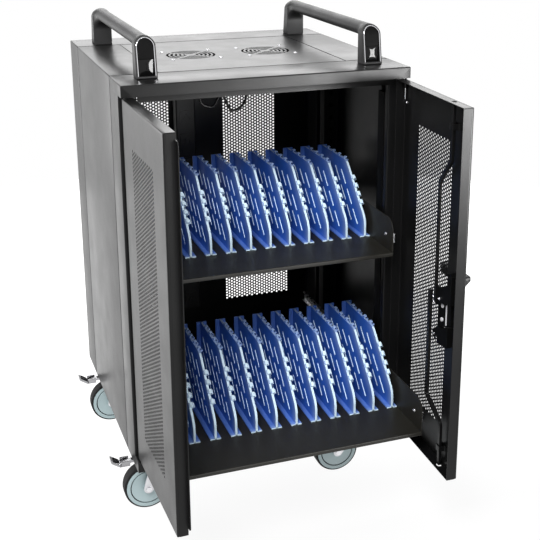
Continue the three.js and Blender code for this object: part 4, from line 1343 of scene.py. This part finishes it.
# %% Door pans
DOOR_FOLD = 5
DOOR_ZONE = (75.5, 22, ZONE_LOW, 78)
door_face = perforated((DOOR_NEAR + LIP, DOOR_FAR - LIP, DOOR_LOW + LIP, DOOR_HIGH - LIP), [DOOR_ZONE], "xzy",
                       0, PUNCHED_SHEET)
door_fold = carried(strip([(0, LIP), (0, 0), (DOOR_FOLD, 0)], 1),
                    rectangle(DOOR_NEAR, DOOR_FAR, DOOR_LOW, DOOR_HIGH, PAN_ROUND), "xzy", True)
rod_slot = about((ROD_END_X, ROD_Y), (6, 4.5), 4.2)
wall_outline = [
    (DOOR_NEAR, DOOR_FOLD), (DOOR_FAR, DOOR_FOLD), (DOOR_FAR, DOOR_DEPTH), (DOOR_NEAR, DOOR_DEPTH),
]
for side, sign, openings in (("left", -1, []), ("right", 1, [rod_slot])):
    body = f"{side}_door"
    coated(f"{side}_door_face", on_door([door_face, door_fold], sign), [body], body, sharp=50)
    walls = [
        plate(wall_outline, openings, "xyz", DOOR_HIGH - SHEET, DOOR_HIGH),
        plate(wall_outline, openings, "xyz", DOOR_LOW, DOOR_LOW + SHEET),
        slab(DOOR_NEAR, DOOR_NEAR + SHEET, DOOR_FOLD, DOOR_DEPTH, DOOR_LOW + SHEET, DOOR_HIGH - SHEET),
        slab(DOOR_FAR - SHEET, DOOR_FAR, DOOR_FOLD, DOOR_DEPTH, DOOR_LOW + SHEET, DOOR_HIGH - SHEET),
    ]
    coated(f"{side}_door_walls", on_door(walls, sign), body=body, bevel=0.4)

# %% [markdown]
# The left door carries a strip that covers the gap between the closed doors. Each hinge is a black sleeve
# with a rounded nose. The tail of its steel pin comes out below, beside a screw.

# %% Overlap strip and hinge pins
OVERLAP_HALF = 12.5
OVERLAP_ENDS = (178, 913.5)
HINGE_SCREW = 47
HINGE_SCREW_HEAD = (3, 1.8)
overlap_outline = box_outline(-OVERLAP_HALF, OVERLAP_HALF, *OVERLAP_ENDS, 8)
overlap = extruded(overlap_outline, "xzy", DOOR_DEPTH - 0.3, DOOR_DEPTH + SHEET)
coated("overlap_strip", on_door([overlap], -1), body="left_door", bevel=0.4)
sleeve = np.array([
    (AXIS, -16), (3.4, -16), (3.4, -0.3), (2.5, -0.3), (2.5, 6.6), (1.6, 7.5), (AXIS, 7.5),
])
tail = np.array([(AXIS, -40), (0.8, -40), (1.6, -39), (1.6, -15), (AXIS, -15)])
sleeves, pins = [], []
for base, reach in ((DOOR_HIGH - SHEET, 1), (DOOR_LOW + SHEET, -1)):
    sleeves.append(revolved(sleeve * (1, reach), "xyz", (*PIN, base), 20))
    pins.append(revolved(tail * (1, reach), "xyz", (*PIN, base), 16))
    pins.append(screw("xzy", (PIN[0], base - HINGE_SCREW * reach, SHEET), *HINGE_SCREW_HEAD))
for side, sign in (("left", -1), ("right", 1)):
    coated(f"{side}_hinge_sleeves", on_door(sleeves, sign), body=f"{side}_door")
    piece(f"{side}_hinge_pins", on_door(pins, sign), bright_chrome, f"{side}_door", "castor_zinc")

# %% [markdown]
# ## The lock
# The lever turns the lock's works, which move both rods. Inside the door the works are two tall blocks, each
# with a lower bracket beside it, and a bridge between them: five flat outlines of different height. A pale
# latch strip, bolts and bright bosses lie on top; outside, a round rose carries a wedge-shaped lever.

# %% Lock case
CASE_LOW = 437
CASE_HIGH = 592
CASE_BACK = 1.8
BLOCK_RISE = 16.8
BRACKET_RISE = 7
BRIDGE_RISE = 6.5
EAR_RISE = BRIDGE_RISE + 1.5
LATCH_RISE = BRIDGE_RISE + 2.2
LATCH_SIDES = (60, 62)
LATCH_ENDS = (475, 521)
SPINDLE = (39, 577)
BOSSES = (
    (114, 518, BRACKET_RISE, 1, 1),
    (113, 529, BRACKET_RISE, 0.8, 1),
    (113, 508, BRACKET_RISE, 0.7, 1),
    (72, 530, BLOCK_RISE, 0.6, 0.8),
)
EAR_SCREWS = ((112, 437), (99, 434))
EAR_SCREW_HEAD = (2.8, 1.6)
LATCH_BOLTS = ((78, 511), (79, 481))
LATCH_BOLT_HEAD = (4.6, 3)


def case_plate(outline, rise):
    """A plate of the lock: an outline with rounded corners, from the door's sheet up to a height."""
    return plate(rounded_outline(outline, 2.5), [], "xzy", CASE_BACK, rise)


case_parts = [
    case_plate([(26, 530), (82, 518), (84, 547), (46, 566), (46, CASE_HIGH), (26, CASE_HIGH)], BLOCK_RISE),
    case_plate([(78, 516), (107, 501), (119, 504), (120, 527), (113, 540), (92, 544), (78, 540)],
               BRACKET_RISE),
    case_plate([(44, 478), (98, 458), (100, 506), (72, 522), (44, 532)], BRIDGE_RISE),
    case_plate([(36, CASE_LOW), (81, 431), (82, 452), (52, 476), (36, 482)], BLOCK_RISE),
    case_plate([(76, 432), (104, 428), (117, 432), (119, 442), (98, 460), (76, 462)], EAR_RISE),
]
piece("lock_case_plates", on_door(case_parts, 1), matt_black, "right_door", "black_plastic", ["lock_case"],
      bevel=0.8)
boss = np.array([(AXIS, -1), (5.2, -1), (5.2, 3.2), (4.4, 4), (2.6, 4), (2.2, 2.6), (AXIS, 2.6)])
bright_parts = [revolved(boss * (wide, tall), "xzy", (x, z, rise), 24) for x, z, rise, wide, tall in BOSSES]
bright_parts += [screw("xzy", (x, z, EAR_RISE), *EAR_SCREW_HEAD) for x, z in EAR_SCREWS]
latch_parts = [slab(*LATCH_SIDES, CASE_BACK, LATCH_RISE, *LATCH_ENDS)]
latch_parts += [hex_bolt("xzy", (x, z, BRIDGE_RISE), *LATCH_BOLT_HEAD) for x, z in LATCH_BOLTS]
piece("lock_case_metal", on_door(bright_parts, 1), bright_chrome, "right_door", "lever_metal", bevel=0.4)
piece("lock_latch_strip", on_door(latch_parts, 1), pale_zinc, "right_door", "lever_metal", bevel=0.3)

# %% Lock rods
ROD_HALF = 4
ROD_THICK = 6
ROD_BEND = 9
GUIDES = (880, 205)
GUIDE_SHEET = 1.2
GUIDE_FOOT = SHEET + GUIDE_SHEET
GUIDE_TOP = 16
GUIDE_INNER = 7
GUIDE_OUTER = 16
GUIDE_HALF = 6


def rod(points):
    """A flat rod bent in its plane; the ends are cut square."""
    line, heading = rounded_line(points, ROD_BEND, 6)
    left = paired(-heading[:, 1], heading[:, 0])
    outline = np.vstack([line + ROD_HALF * left, (line - ROD_HALF * left)[::-1]])
    return extruded(outline, "xzy", ROD_Y - ROD_THICK / 2, ROD_Y + ROD_THICK / 2, thin=True)


upper_rod = rod([(103.5, 512), (103.5, 760), (ROD_END_X, 815), (ROD_END_X, 925.5)])
lower_rod = rod([(126.5, 528), (126.5, 294), (ROD_END_X, 259), (ROD_END_X, 166)])
for level, part in (("upper", upper_rod), ("lower", lower_rod)):
    body = f"{level}_lock_rod"
    coated(f"{level}_rod_bar", on_door([part], 1), [body], body, bevel=0.6)
guide_line = [(-GUIDE_OUTER, GUIDE_FOOT), (-GUIDE_INNER, GUIDE_FOOT), (-GUIDE_INNER, GUIDE_TOP)]
guide_line += [(-x, y) for x, y in reversed(guide_line)]
guide_section = strip([(ROD_END_X + x, y) for x, y in guide_line], -1, GUIDE_SHEET, 1)
guides = [extruded(guide_section, "xyz", z - GUIDE_HALF, z + GUIDE_HALF, thin=True) for z in GUIDES]
coated("rod_guides", on_door(guides, 1), body="right_door")

# %% Rose and lever
rose_profile = np.array([(6.4, 1.4), (16, 1.4), (16, -1.6), (15, -2.6), (13.5, -3), (6.4, -3)])
rose = revolved(rose_profile, "xzy", (*SPINDLE, 0), 40)
piece("lock_rose", on_door([rose], 1), moulded_black, "right_door", "black_plastic")
lever_outline = rounded_outline([(-3.3, -13), (-3.3, 13), (-21.3, 13), (-21.3, 4)], 2.5, 4)
lever_stations = np.array([
    (-20, 0.72), (-19, 0.86), (-17, 0.96), (-13, 1), (73, 1), (77, 0.95), (79, 0.84), (80, 0.68),
])
lever_middle = lever_outline.mean(axis=0)
lever_section = lever_middle + (lever_outline - lever_middle)[None] * lever_stations[:, 1, None, None]
lever_rings = along("yzx", lever_section[..., 0], SPINDLE[1] + lever_section[..., 1],
                    SPINDLE[0] + lever_stations[:, 0, None])
spindle_profile = np.array([(AXIS, -4), (6, -4), (6, 13.5), (5.4, 14), (AXIS, 14)])
spindle = revolved(spindle_profile, "xzy", (*SPINDLE, 0), 24)
piece("lever_grip", on_door([loft(lever_rings), spindle], 1), moulded_black, "lock_lever", "lever_metal",
      ["lock_lever"])

# %% [markdown]
# ## The trays
# A tray is a sheet whose front edge is hemmed downwards and whose back edge turns up. Two cheeks with a
# round front corner stand on it and carry the moving members of the slides.

# %% Trays
TRAY_HALF = 254
TRAY_FRONTS = {"upper": -35, "lower": -195}
HEM = 8.5
HEM_LIP = 4
TRAY_BACK = 20
CHEEK = 72
CHEEK_ROUND = 28
CHEEK_NOSE = 12
SLIDE_OUTER = 261
SLIDE_START = 6
SLIDE_STOP = 5
CHEEK_BOLTS = (35, 190, 345)
CHEEK_BOLT_RISE = 32
CHEEK_BOLT_HEAD = (4, 2)
for level, front in TRAY_FRONTS.items():
    z = TRAY_TOPS[level]
    rear = front + TRAY_DEPTH
    floor_sheet = folded(
        [(front + HEM_LIP, z - HEM), (front, z - HEM), (front, z), (rear - SHEET, z),
         (rear - SHEET, z + TRAY_BACK)],
        -1, "yzx", -TRAY_HALF + SHEET, TRAY_HALF - SHEET, radius=1.8,
    )
    corner = arc((front + CHEEK_ROUND, z + CHEEK - CHEEK_ROUND), CHEEK_ROUND, 90, 180, 10)
    cheek_outline = [
        (front, z - HEM), (front + CHEEK_NOSE, z - SHEET), (rear, z - SHEET), (rear, z + CHEEK), *corner,
    ]
    cheek = plate(cheek_outline, [], "yzx", TRAY_HALF - SHEET, TRAY_HALF)
    piece(f"{level}_tray_sheet", [floor_sheet, cheek, mirrored(cheek)], tray_black, f"{level}_tray",
          "black_powder_coat", [f"{level}_tray"], bevel=0.3)
    member = folded(
        [(TRAY_HALF + 0.5, z + SLIDE_RISE), (SLIDE_OUTER, z + SLIDE_RISE), (SLIDE_OUTER, z + SLIDE_HIGH),
         (TRAY_HALF + 0.5, z + SLIDE_HIGH)],
        1, "xzy", front + SLIDE_START, rear, radius=1.6,
    )
    stop = extruded(box_outline(TRAY_HALF, SLIDE_OUTER, z + SLIDE_RISE + 1, z + SLIDE_HIGH - 1, 1), "xzy",
                    front + SLIDE_START, front + SLIDE_START + SLIDE_STOP)
    bolts = [
        screw("yzx", (front + behind, z + CHEEK_BOLT_RISE, TRAY_HALF - SHEET), *CHEEK_BOLT_HEAD, -1)
        for behind in CHEEK_BOLTS
    ]
    parts = [member, stop, *bolts]
    piece(f"{level}_tray_slides", [*parts, *[mirrored(part) for part in parts]], zinc_plate,
          f"{level}_tray", "slide_zinc")

# %% [markdown]
# ## The dividers
# Eleven dividers stand on each tray. Each is a moulded plate with hooks for the charging leads along its
# top and its sloping front and with rows of slanted slots. It stands on a flat foot and has a flange at
# the rear. All twenty-two are one shape put in different places.

# %% Divider measures
DIVIDER_LENGTH = 260
DIVIDER_HEIGHT = 148
DIVIDER_HALF = 2.5
DIVIDER_SETBACK = 115
DIVIDER_PITCH = 43.8
DIVIDER_FIRST = -198
DIVIDER_COUNT = 11
FOOT_HALF = 11.5
FOOT_THICK = 3
FLANGE = 4
CLIP_RADIUS = 5.8
CLIP_BORE = 3.4
CLIP_HALF = 5
CLIP_CENTRE = (3.8, -1.2)
CLIP_TURNS = (75, 345)
CHAMFER = DIVIDER_HEIGHT - DIVIDER_FRONT
TOP_ROUND = 25
FRONT_ROUND = 40
SLOT_RADIUS = 2.4
SLOT_FIRST = np.array([63.0, 45.0])
SLOT_PITCH = np.array([35.0, 37.0])
SLOT_RUN = 25
SLOT_ROWS = 3
SLOT_COLUMNS = 6

# %% The divider's outline


def on_chamfer(distance):
    """A point along the 45 degree slope, measured from its upper end."""
    return (CHAMFER - distance * DIAGONAL, DIVIDER_HEIGHT - distance * DIAGONAL)


TOP_CLIPS = [(y, DIVIDER_HEIGHT) for y in (223, 190, 157, 124)]
SLOPE_CLIPS = [on_chamfer(distance) for distance in (46, 67, 88, 109)]


def divider_outline():
    """The plate's edge from the front foot round by the rear, the top and the slope."""
    bend = math.tan(math.pi / 8)
    return [
        (0, 0), (DIVIDER_LENGTH, 0), (DIVIDER_LENGTH, DIVIDER_HEIGHT),
        *arc((CHAMFER + TOP_ROUND * bend, DIVIDER_HEIGHT - TOP_ROUND), TOP_ROUND, 90, 135, 5),
        *arc((FRONT_ROUND, DIVIDER_FRONT - FRONT_ROUND * bend), FRONT_ROUND, 135, 180, 5),
    ]


def clip(place, turn):
    """A hook beside the plate's edge: most of a ring across the edge, carried along it (turn in degrees)."""
    ring = np.vstack([arc(CLIP_CENTRE, CLIP_RADIUS, *CLIP_TURNS, 12),
                      arc(CLIP_CENTRE, CLIP_BORE, *CLIP_TURNS[::-1], 12)])
    ahead = np.array([0, math.cos(math.radians(turn)), math.sin(math.radians(turn))])
    proud = np.array([0, -ahead[2], ahead[1]])
    section = ring[:, :1] * (1, 0, 0) + ring[:, 1:] * proud + (0, *place)
    return loft(np.stack([section - CLIP_HALF * ahead, section + CLIP_HALF * ahead]), thin=True)


def divider_slots():
    """Three rows of slots that slant forwards and down; each row starts one column further back."""
    slots = []
    for row in range(SLOT_ROWS):
        for column in range(row, SLOT_COLUMNS):
            upper = SLOT_FIRST + SLOT_PITCH * (column, row)
            slots.append(np.vstack([
                arc(upper, SLOT_RADIUS, -45, 135, 4),
                arc(upper - SLOT_RUN, SLOT_RADIUS, 135, 315, 4),
            ]))
    return slots


# %% The divider's shape
divider_plate = plate(divider_outline(), divider_slots(), "yzx", -DIVIDER_HALF, DIVIDER_HALF)
divider_foot = slab(-FOOT_HALF, FOOT_HALF, 0, DIVIDER_LENGTH, 0, FOOT_THICK)
divider_flange = slab(-FOOT_HALF, FOOT_HALF, DIVIDER_LENGTH - FLANGE, DIVIDER_LENGTH, FOOT_THICK,
                      DIVIDER_HEIGHT)
divider_clips = [clip(place, 0) for place in TOP_CLIPS] + [clip(place, 45) for place in SLOPE_CLIPS]
divider_shape = gather([divider_plate, divider_foot, divider_flange, *divider_clips])
print("divider", len(divider_shape[1]), "faces")

# %% Marking the painted highlights
# How much painted highlight the foot top, the top hooks (which lie in shade) and the rear flange get.
FACING = 0.7
SLACK = 0.1
FOOT_HIGHLIGHT = 0.1
TOP_HIGHLIGHT = 0.42
FLANGE_HIGHLIGHT = 0.08


def triples(items, title):
    """A vector of every face or vertex of a mesh, as rows of three."""
    values = np.zeros(3 * len(items), np.float32)
    items.foreach_get(title, values)
    return values.reshape(-1, 3)


def mark_painted_highlights(made, foot):
    """Say how much painted highlight each face gets, the cut edges most and the flange least, and where its
    points lie.
    """
    mesh = made.data
    normal = triples(mesh.polygons, "normal")
    centre = 1000 * triples(mesh.polygons, "center") - SHIFT - foot
    value = np.where(np.abs(normal[:, 0]) > FACING, 0, 1.0)
    value[(centre[:, 2] < FOOT_THICK + SLACK) & (normal[:, 1] > -FACING)] = FOOT_HIGHLIGHT
    near_top = (centre[:, 1] > CHAMFER) & (centre[:, 2] > DIVIDER_HEIGHT - 2 * CLIP_RADIUS)
    value[(value == 1) & near_top] = TOP_HIGHLIGHT
    value[centre[:, 1] > DIVIDER_LENGTH - FLANGE - SLACK] = FLANGE_HIGHLIGHT
    highlight_value = mesh.attributes.new(EDGE_HIGHLIGHT, "FLOAT", "FACE")
    highlight_value.data.foreach_set("value", value.astype(np.float32))
    places = 1000 * triples(mesh.vertices, "co") - SHIFT - foot
    plate_place = mesh.attributes.new(PLATE_PLACE, "FLOAT_VECTOR", "POINT")
    plate_place.data.foreach_set("vector", places.astype(np.float32).ravel())


# %% Placing the dividers
for level, tray_front in TRAY_FRONTS.items():
    for number in range(DIVIDER_COUNT):
        foot = np.array([
            DIVIDER_FIRST + DIVIDER_PITCH * number, tray_front + DIVIDER_SETBACK, TRAY_TOPS[level],
        ])
        made = piece(f"{level}_plate_{number + 1:02d}", moved([divider_shape], foot), divider_blue,
                     f"{level}_tray", "divider_blue", [f"{level}_divider_{number + 1:02d}"], bevel=0.4)
        mark_painted_highlights(made, foot)

# %% [markdown]
# ## The castors
# A castor is a pressed fork that swivels under its pad, a wheel with a pale moulded body and a dark tread,
# and a steel brake pedal: a stem, a cup and a pad that rises outwards, faced with rubber. The wheel trails to
# the cart's left. All four castors are one shape, drawn about the swivel axis and put in four places.

# %% Castor wheel
TRAIL = 44
AXLE_Z = 52
AXLE = (-TRAIL, AXLE_Z, 0)


def both_sides(half):
    """A wheel's profile of (radius, along) from one half; the other half is its mirror image."""
    half = np.array(half)
    return np.vstack([half, (half * (1, -1))[::-1]])


body_profile = both_sides([
    (5.4, 17), (10, 17), (11, 14.5), (30, 14.5), (33, 15.5), (36.4, 15.7), (36.9, 13.5), (38.7, 13.5),
    (39.2, 16.2), (43, 17.2), (46, 16.6), (47.4, 14.6),
])
tread_profile = both_sides([
    (46.4, 14.4), (47.2, 15.6), (49, 15.4), (50.4, 13.9), (51.1, 11.5), (51.3, 8),
])
groove = np.array([(36.6, 13.6), (38.9, 13.6), (38.9, 14.1), (36.6, 14.1)])
wheel_parts = [revolved(body_profile, "xzy", AXLE, 64)]
tread_parts = [
    revolved(tread_profile, "xzy", AXLE, 96),
    revolved(groove, "xzy", AXLE, 64),
    revolved(groove * (1, -1), "xzy", AXLE, 64),
]
print("wheel", len(wheel_parts) + len(tread_parts), "parts")

# %% Castor fork
CROWN = (108, 122)
CROWN_ENDS = (-36, 22)
CROWN_THICK = 4
CROWN_ROUND = 5
LEG_INNER = 20
LEG_OUTER = 24
EAR_ENDS = (-55, -34)
EAR_INNER = 13.4
EAR_OUTER = 17.4
EAR_HEIGHTS = (110, 121)
AXLE_NUT_HEAD = (7, 4)
leg_outline = np.vstack([
    [(-36, 119), (-52, 66)],
    arc((-TRAIL, AXLE_Z), 11, 180, 330, 10),
    [(11, 119)],
])
crown_strip = strip(
    [(-LEG_OUTER, CROWN[0]), (-LEG_OUTER, CROWN[1]), (LEG_OUTER, CROWN[1]), (LEG_OUTER, CROWN[0])],
    -1, CROWN_THICK, CROWN_ROUND,
)
bearing = np.array([
    (AXIS, 104), (20, 104), (24, 110), (24, 118), (27.5, 120), (28, 123), (28, 128), (26, 129.8),
    (AXIS, 129.8),
])
fork_parts = [
    extruded(crown_strip, "yzx", *CROWN_ENDS, thin=True),
    extruded(leg_outline, "xzy", LEG_INNER, LEG_OUTER),
    extruded(leg_outline, "xzy", -LEG_INNER, -LEG_OUTER),
    revolved(bearing, "xyz", (0, 0, 0), 40),
    slab(*EAR_ENDS, EAR_INNER, EAR_OUTER, *EAR_HEIGHTS),
    slab(*EAR_ENDS, -EAR_OUTER, -EAR_INNER, *EAR_HEIGHTS),
]
axle_nuts = [
    hex_bolt("xzy", (-TRAIL, AXLE_Z, direction * LEG_OUTER), *AXLE_NUT_HEAD, direction)
    for direction in (-1, 1)
]
print("fork", len(fork_parts) + len(axle_nuts), "parts")

# %% Brake pedal
PEDAL_PIVOT = (-46, 116)
STEM = [(6, -3.5), (6, 3.5), (-30, 3), (-58, -3), (-58, -6), (-30, -3)]
STEM_HALF = 6
CUP_ENDS = (-53, -34)
CUP_INNER = 10
CUP_OUTER = 12
CUP_LOW = -6.5
CUP_HIGH = 5
CUP_FLOOR = CUP_LOW + 2
PIN_RADIUS = 2.5
FOOT_PAD = (-75, -53, 13)
FOOT_PAD_LOW = -8
FOOT_PAD_SLOPE = 0.65
FOOT_PAD_THICK = 6.5
GRIP_HEIGHTS = (FOOT_PAD_THICK - 0.2, FOOT_PAD_THICK + 1.2)


def foot_pad(lip, inset, low, high, holes=()):
    """A plate with round corners in plan, whose height then grows outwards in a straight line."""
    near, far, half = FOOT_PAD
    outline = box_outline(near + lip, far - inset, inset - half, half - inset, 5 - inset / 2)
    points, faces = plate(outline, list(holes), "xyz", FOOT_PAD_LOW + low, FOOT_PAD_LOW + high)
    return points + FOOT_PAD_SLOPE * (far - points[:, :1]) * (0, 0, 1), faces


pin_profile = np.array([
    (AXIS, -EAR_OUTER), (PIN_RADIUS, -EAR_OUTER), (PIN_RADIUS, EAR_OUTER), (AXIS, EAR_OUTER),
])
grip_slots = [about((x, 0), (1, 6), 0.9) for x in (-66, -62)]
pedal_parts = [
    extruded(rounded_outline(STEM, 1.2, 3), "xzy", -STEM_HALF, STEM_HALF),
    slab(*CUP_ENDS, -CUP_OUTER, -CUP_INNER, CUP_LOW, CUP_HIGH),
    slab(*CUP_ENDS, CUP_INNER, CUP_OUTER, CUP_LOW, CUP_HIGH),
    slab(*CUP_ENDS, -CUP_INNER, CUP_INNER, CUP_LOW, CUP_FLOOR),
    foot_pad(0, 0, 0, FOOT_PAD_THICK),
    revolved(pin_profile, "xzy", (0, 0, 0), 16),
]
grip_parts = [foot_pad(6, 3, *GRIP_HEIGHTS, grip_slots)]
print("pedal", len(pedal_parts) + len(grip_parts), "parts")

# %% Placing the castors
for name, (px, py) in CASTOR_PIVOTS.items():
    pivot = np.array([px, py, 0.0])
    hinge = pivot + (PEDAL_PIVOT[0], 0, PEDAL_PIVOT[1])
    fork, wheel, pedal = (f"{name}_{part}" for part in ("fork", "wheel", "brake_pedal"))
    piece(f"{name}_fork_pressing", moved(fork_parts, pivot), zinc_plate, fork, "castor_zinc", [fork],
          bevel=0.7)
    piece(f"{name}_axle_nuts", moved(axle_nuts, pivot), bright_chrome, fork, "castor_zinc", bevel=0.3)
    piece(f"{name}_wheel_body", moved(wheel_parts, pivot), wheel_grey, wheel, "wheel_grey", [wheel])
    piece(f"{name}_wheel_tread", moved(tread_parts, pivot), tread_rubber, wheel, "wheel_grey")
    piece(f"{name}_pedal_plate", moved(pedal_parts, hinge), pedal_steel, pedal, "castor_zinc", [pedal],
          bevel=0.5)
    piece(f"{name}_pedal_grip", moved(grip_parts, hinge), tread_rubber, pedal, "black_plastic", bevel=0.3)

# %% [markdown]
# ## Floor and light
# The cart stands in a white studio. The world is white from everywhere, which black sheet metal needs: it
# shows hardly any colour of its own, only what it mirrors at a low angle. Soft boxes add direction.

# %% Floor
FLOOR_RADIUS = 2.6
FLOOR_SIDES = 96
FLOOR_LEVEL = cad_box[0][2] - 0.0005
floor_mesh = bpy.data.meshes.new("studio_floor")
floor_points = [
    (FLOOR_RADIUS * math.cos(turn), FLOOR_RADIUS * math.sin(turn), FLOOR_LEVEL)
    for turn in 2 * np.pi * np.arange(FLOOR_SIDES) / FLOOR_SIDES
]
floor_mesh.from_pydata(floor_points, [], [list(range(FLOOR_SIDES))])
studio_floor = bpy.data.objects.new("studio_floor", floor_mesh)
bpy.context.scene.collection.objects.link(studio_floor)
print("floor", FLOOR_SIDES, "sides")

# %% [markdown]
# Near the cart the floor is matt and takes a soft shadow. With the distance from the cart it turns into a
# plain glow, so that its edge melts into the white behind it. Towards the back the glow is painted brighter
# than white: a painted pool of light that the black sides of the cart mirror.

# %% Floor finish
FLOOR_SHADE = 0.92
FADE_FROM = 0.5
FADE_TO = 1.4
FADE_LEAST = 0.86
# Painted pool of light on the floor: where it starts, where it is full, and its brightest glow.
LIGHT_POOL_FRONT = -0.3
LIGHT_POOL_BACK = 0.9
LIGHT_POOL_MOST = 1.5
floor_finish = bpy.data.materials.new("floor_white")
floor_finish.use_nodes = True
floor_tree = floor_finish.node_tree
floor_tree.nodes.remove(floor_tree.nodes["Principled BSDF"])
matt = floor_tree.nodes.new("ShaderNodeBsdfDiffuse")
matt.inputs["Color"].default_value = (FLOOR_SHADE, FLOOR_SHADE, FLOOR_SHADE, 1)
glow = floor_tree.nodes.new("ShaderNodeEmission")
floor_mix = floor_tree.nodes.new("ShaderNodeMixShader")
floor_place = floor_tree.nodes.new("ShaderNodeTexCoord")
floor_distance = floor_tree.nodes.new("ShaderNodeVectorMath")
floor_distance.operation = "LENGTH"
floor_parted = floor_tree.nodes.new("ShaderNodeSeparateXYZ")
floor_tree.links.new(floor_place.outputs["Object"], floor_parted.inputs["Vector"])
floor_tree.links.new(floor_place.outputs["Object"], floor_distance.inputs[0])
# Painted pool of light: the floor's glow grows to half as bright again towards the back.
floor_light_pool = carried_over(floor_tree, floor_parted.outputs["Y"], (LIGHT_POOL_FRONT, LIGHT_POOL_BACK), (1, LIGHT_POOL_MOST))
floor_tree.links.new(floor_light_pool, glow.inputs["Strength"])
floor_fade = carried_over(floor_tree, floor_distance.outputs["Value"], (FADE_FROM, FADE_TO), (FADE_LEAST, 1))
floor_tree.links.new(floor_fade, floor_mix.inputs["Fac"])
floor_tree.links.new(matt.outputs["BSDF"], floor_mix.inputs[1])
floor_tree.links.new(glow.outputs["Emission"], floor_mix.inputs[2])
floor_tree.links.new(floor_mix.outputs["Shader"], floor_tree.nodes["Material Output"].inputs["Surface"])
floor_mesh.materials.append(floor_finish)

# %% World
WORLD_LIGHT = 0.55
world = bpy.data.worlds.new("white_studio")
bpy.context.scene.world = world
world.use_nodes = True
world_tree = world.node_tree
sky = world_tree.nodes["Background"]
sky.inputs["Color"].default_value = (1, 1, 1, 1)
ray = world_tree.nodes.new("ShaderNodeLightPath")
seen = maths(world_tree, "ADD", ray.outputs["Is Camera Ray"], ray.outputs["Is Glossy Ray"])
seen_all = maths(world_tree, "ADD", seen, ray.outputs["Is Transmission Ray"])
brightness = carried_over(world_tree, seen_all, target=(WORLD_LIGHT, 1))
world_tree.links.new(brightness, sky.inputs["Strength"])
print("world", world.name)

# %% Soft boxes


def soft_box(name, place, target, size, power):
    """A flat light, width by height, that faces a point and isn't seen itself."""
    data = bpy.data.lights.new(name, "AREA")
    data.shape = "RECTANGLE"
    data.size, data.size_y = size
    data.energy = power
    lamp = bpy.data.objects.new(name, data)
    lamp.location = place
    lamp.rotation_euler = (Vector(target) - Vector(place)).to_track_quat("-Z", "Y").to_euler()
    lamp.visible_camera = False
    bpy.context.scene.collection.objects.link(lamp)
    return lamp


soft_box("key_light", (-1.2, -2.0, 2.8), (0, 0, 0.5), (1.4, 1.4), 110)
soft_box("back_light", (1.0, 3.2, 2.15), (0.1, 0.1, 0.9), (3.2, 1.2), 36)
soft_box("side_light", (-2.2, 2.4, 0.7), (-0.3, 0, 0.4), (1.3, 1.3), 30)
front_light = soft_box("front_light", (1.25, -2.2, 0.75), (0.3, -0.1, 0.9), (0.9, 0.9), 80)
front_light.visible_diffuse = False
print("lights", [lamp.name for lamp in bpy.data.lights])

# %% [markdown]
# Last, the colours are shown as they are, with the Standard view transform.

# %% Finish
bpy.context.scene.view_settings.view_transform = "Standard"
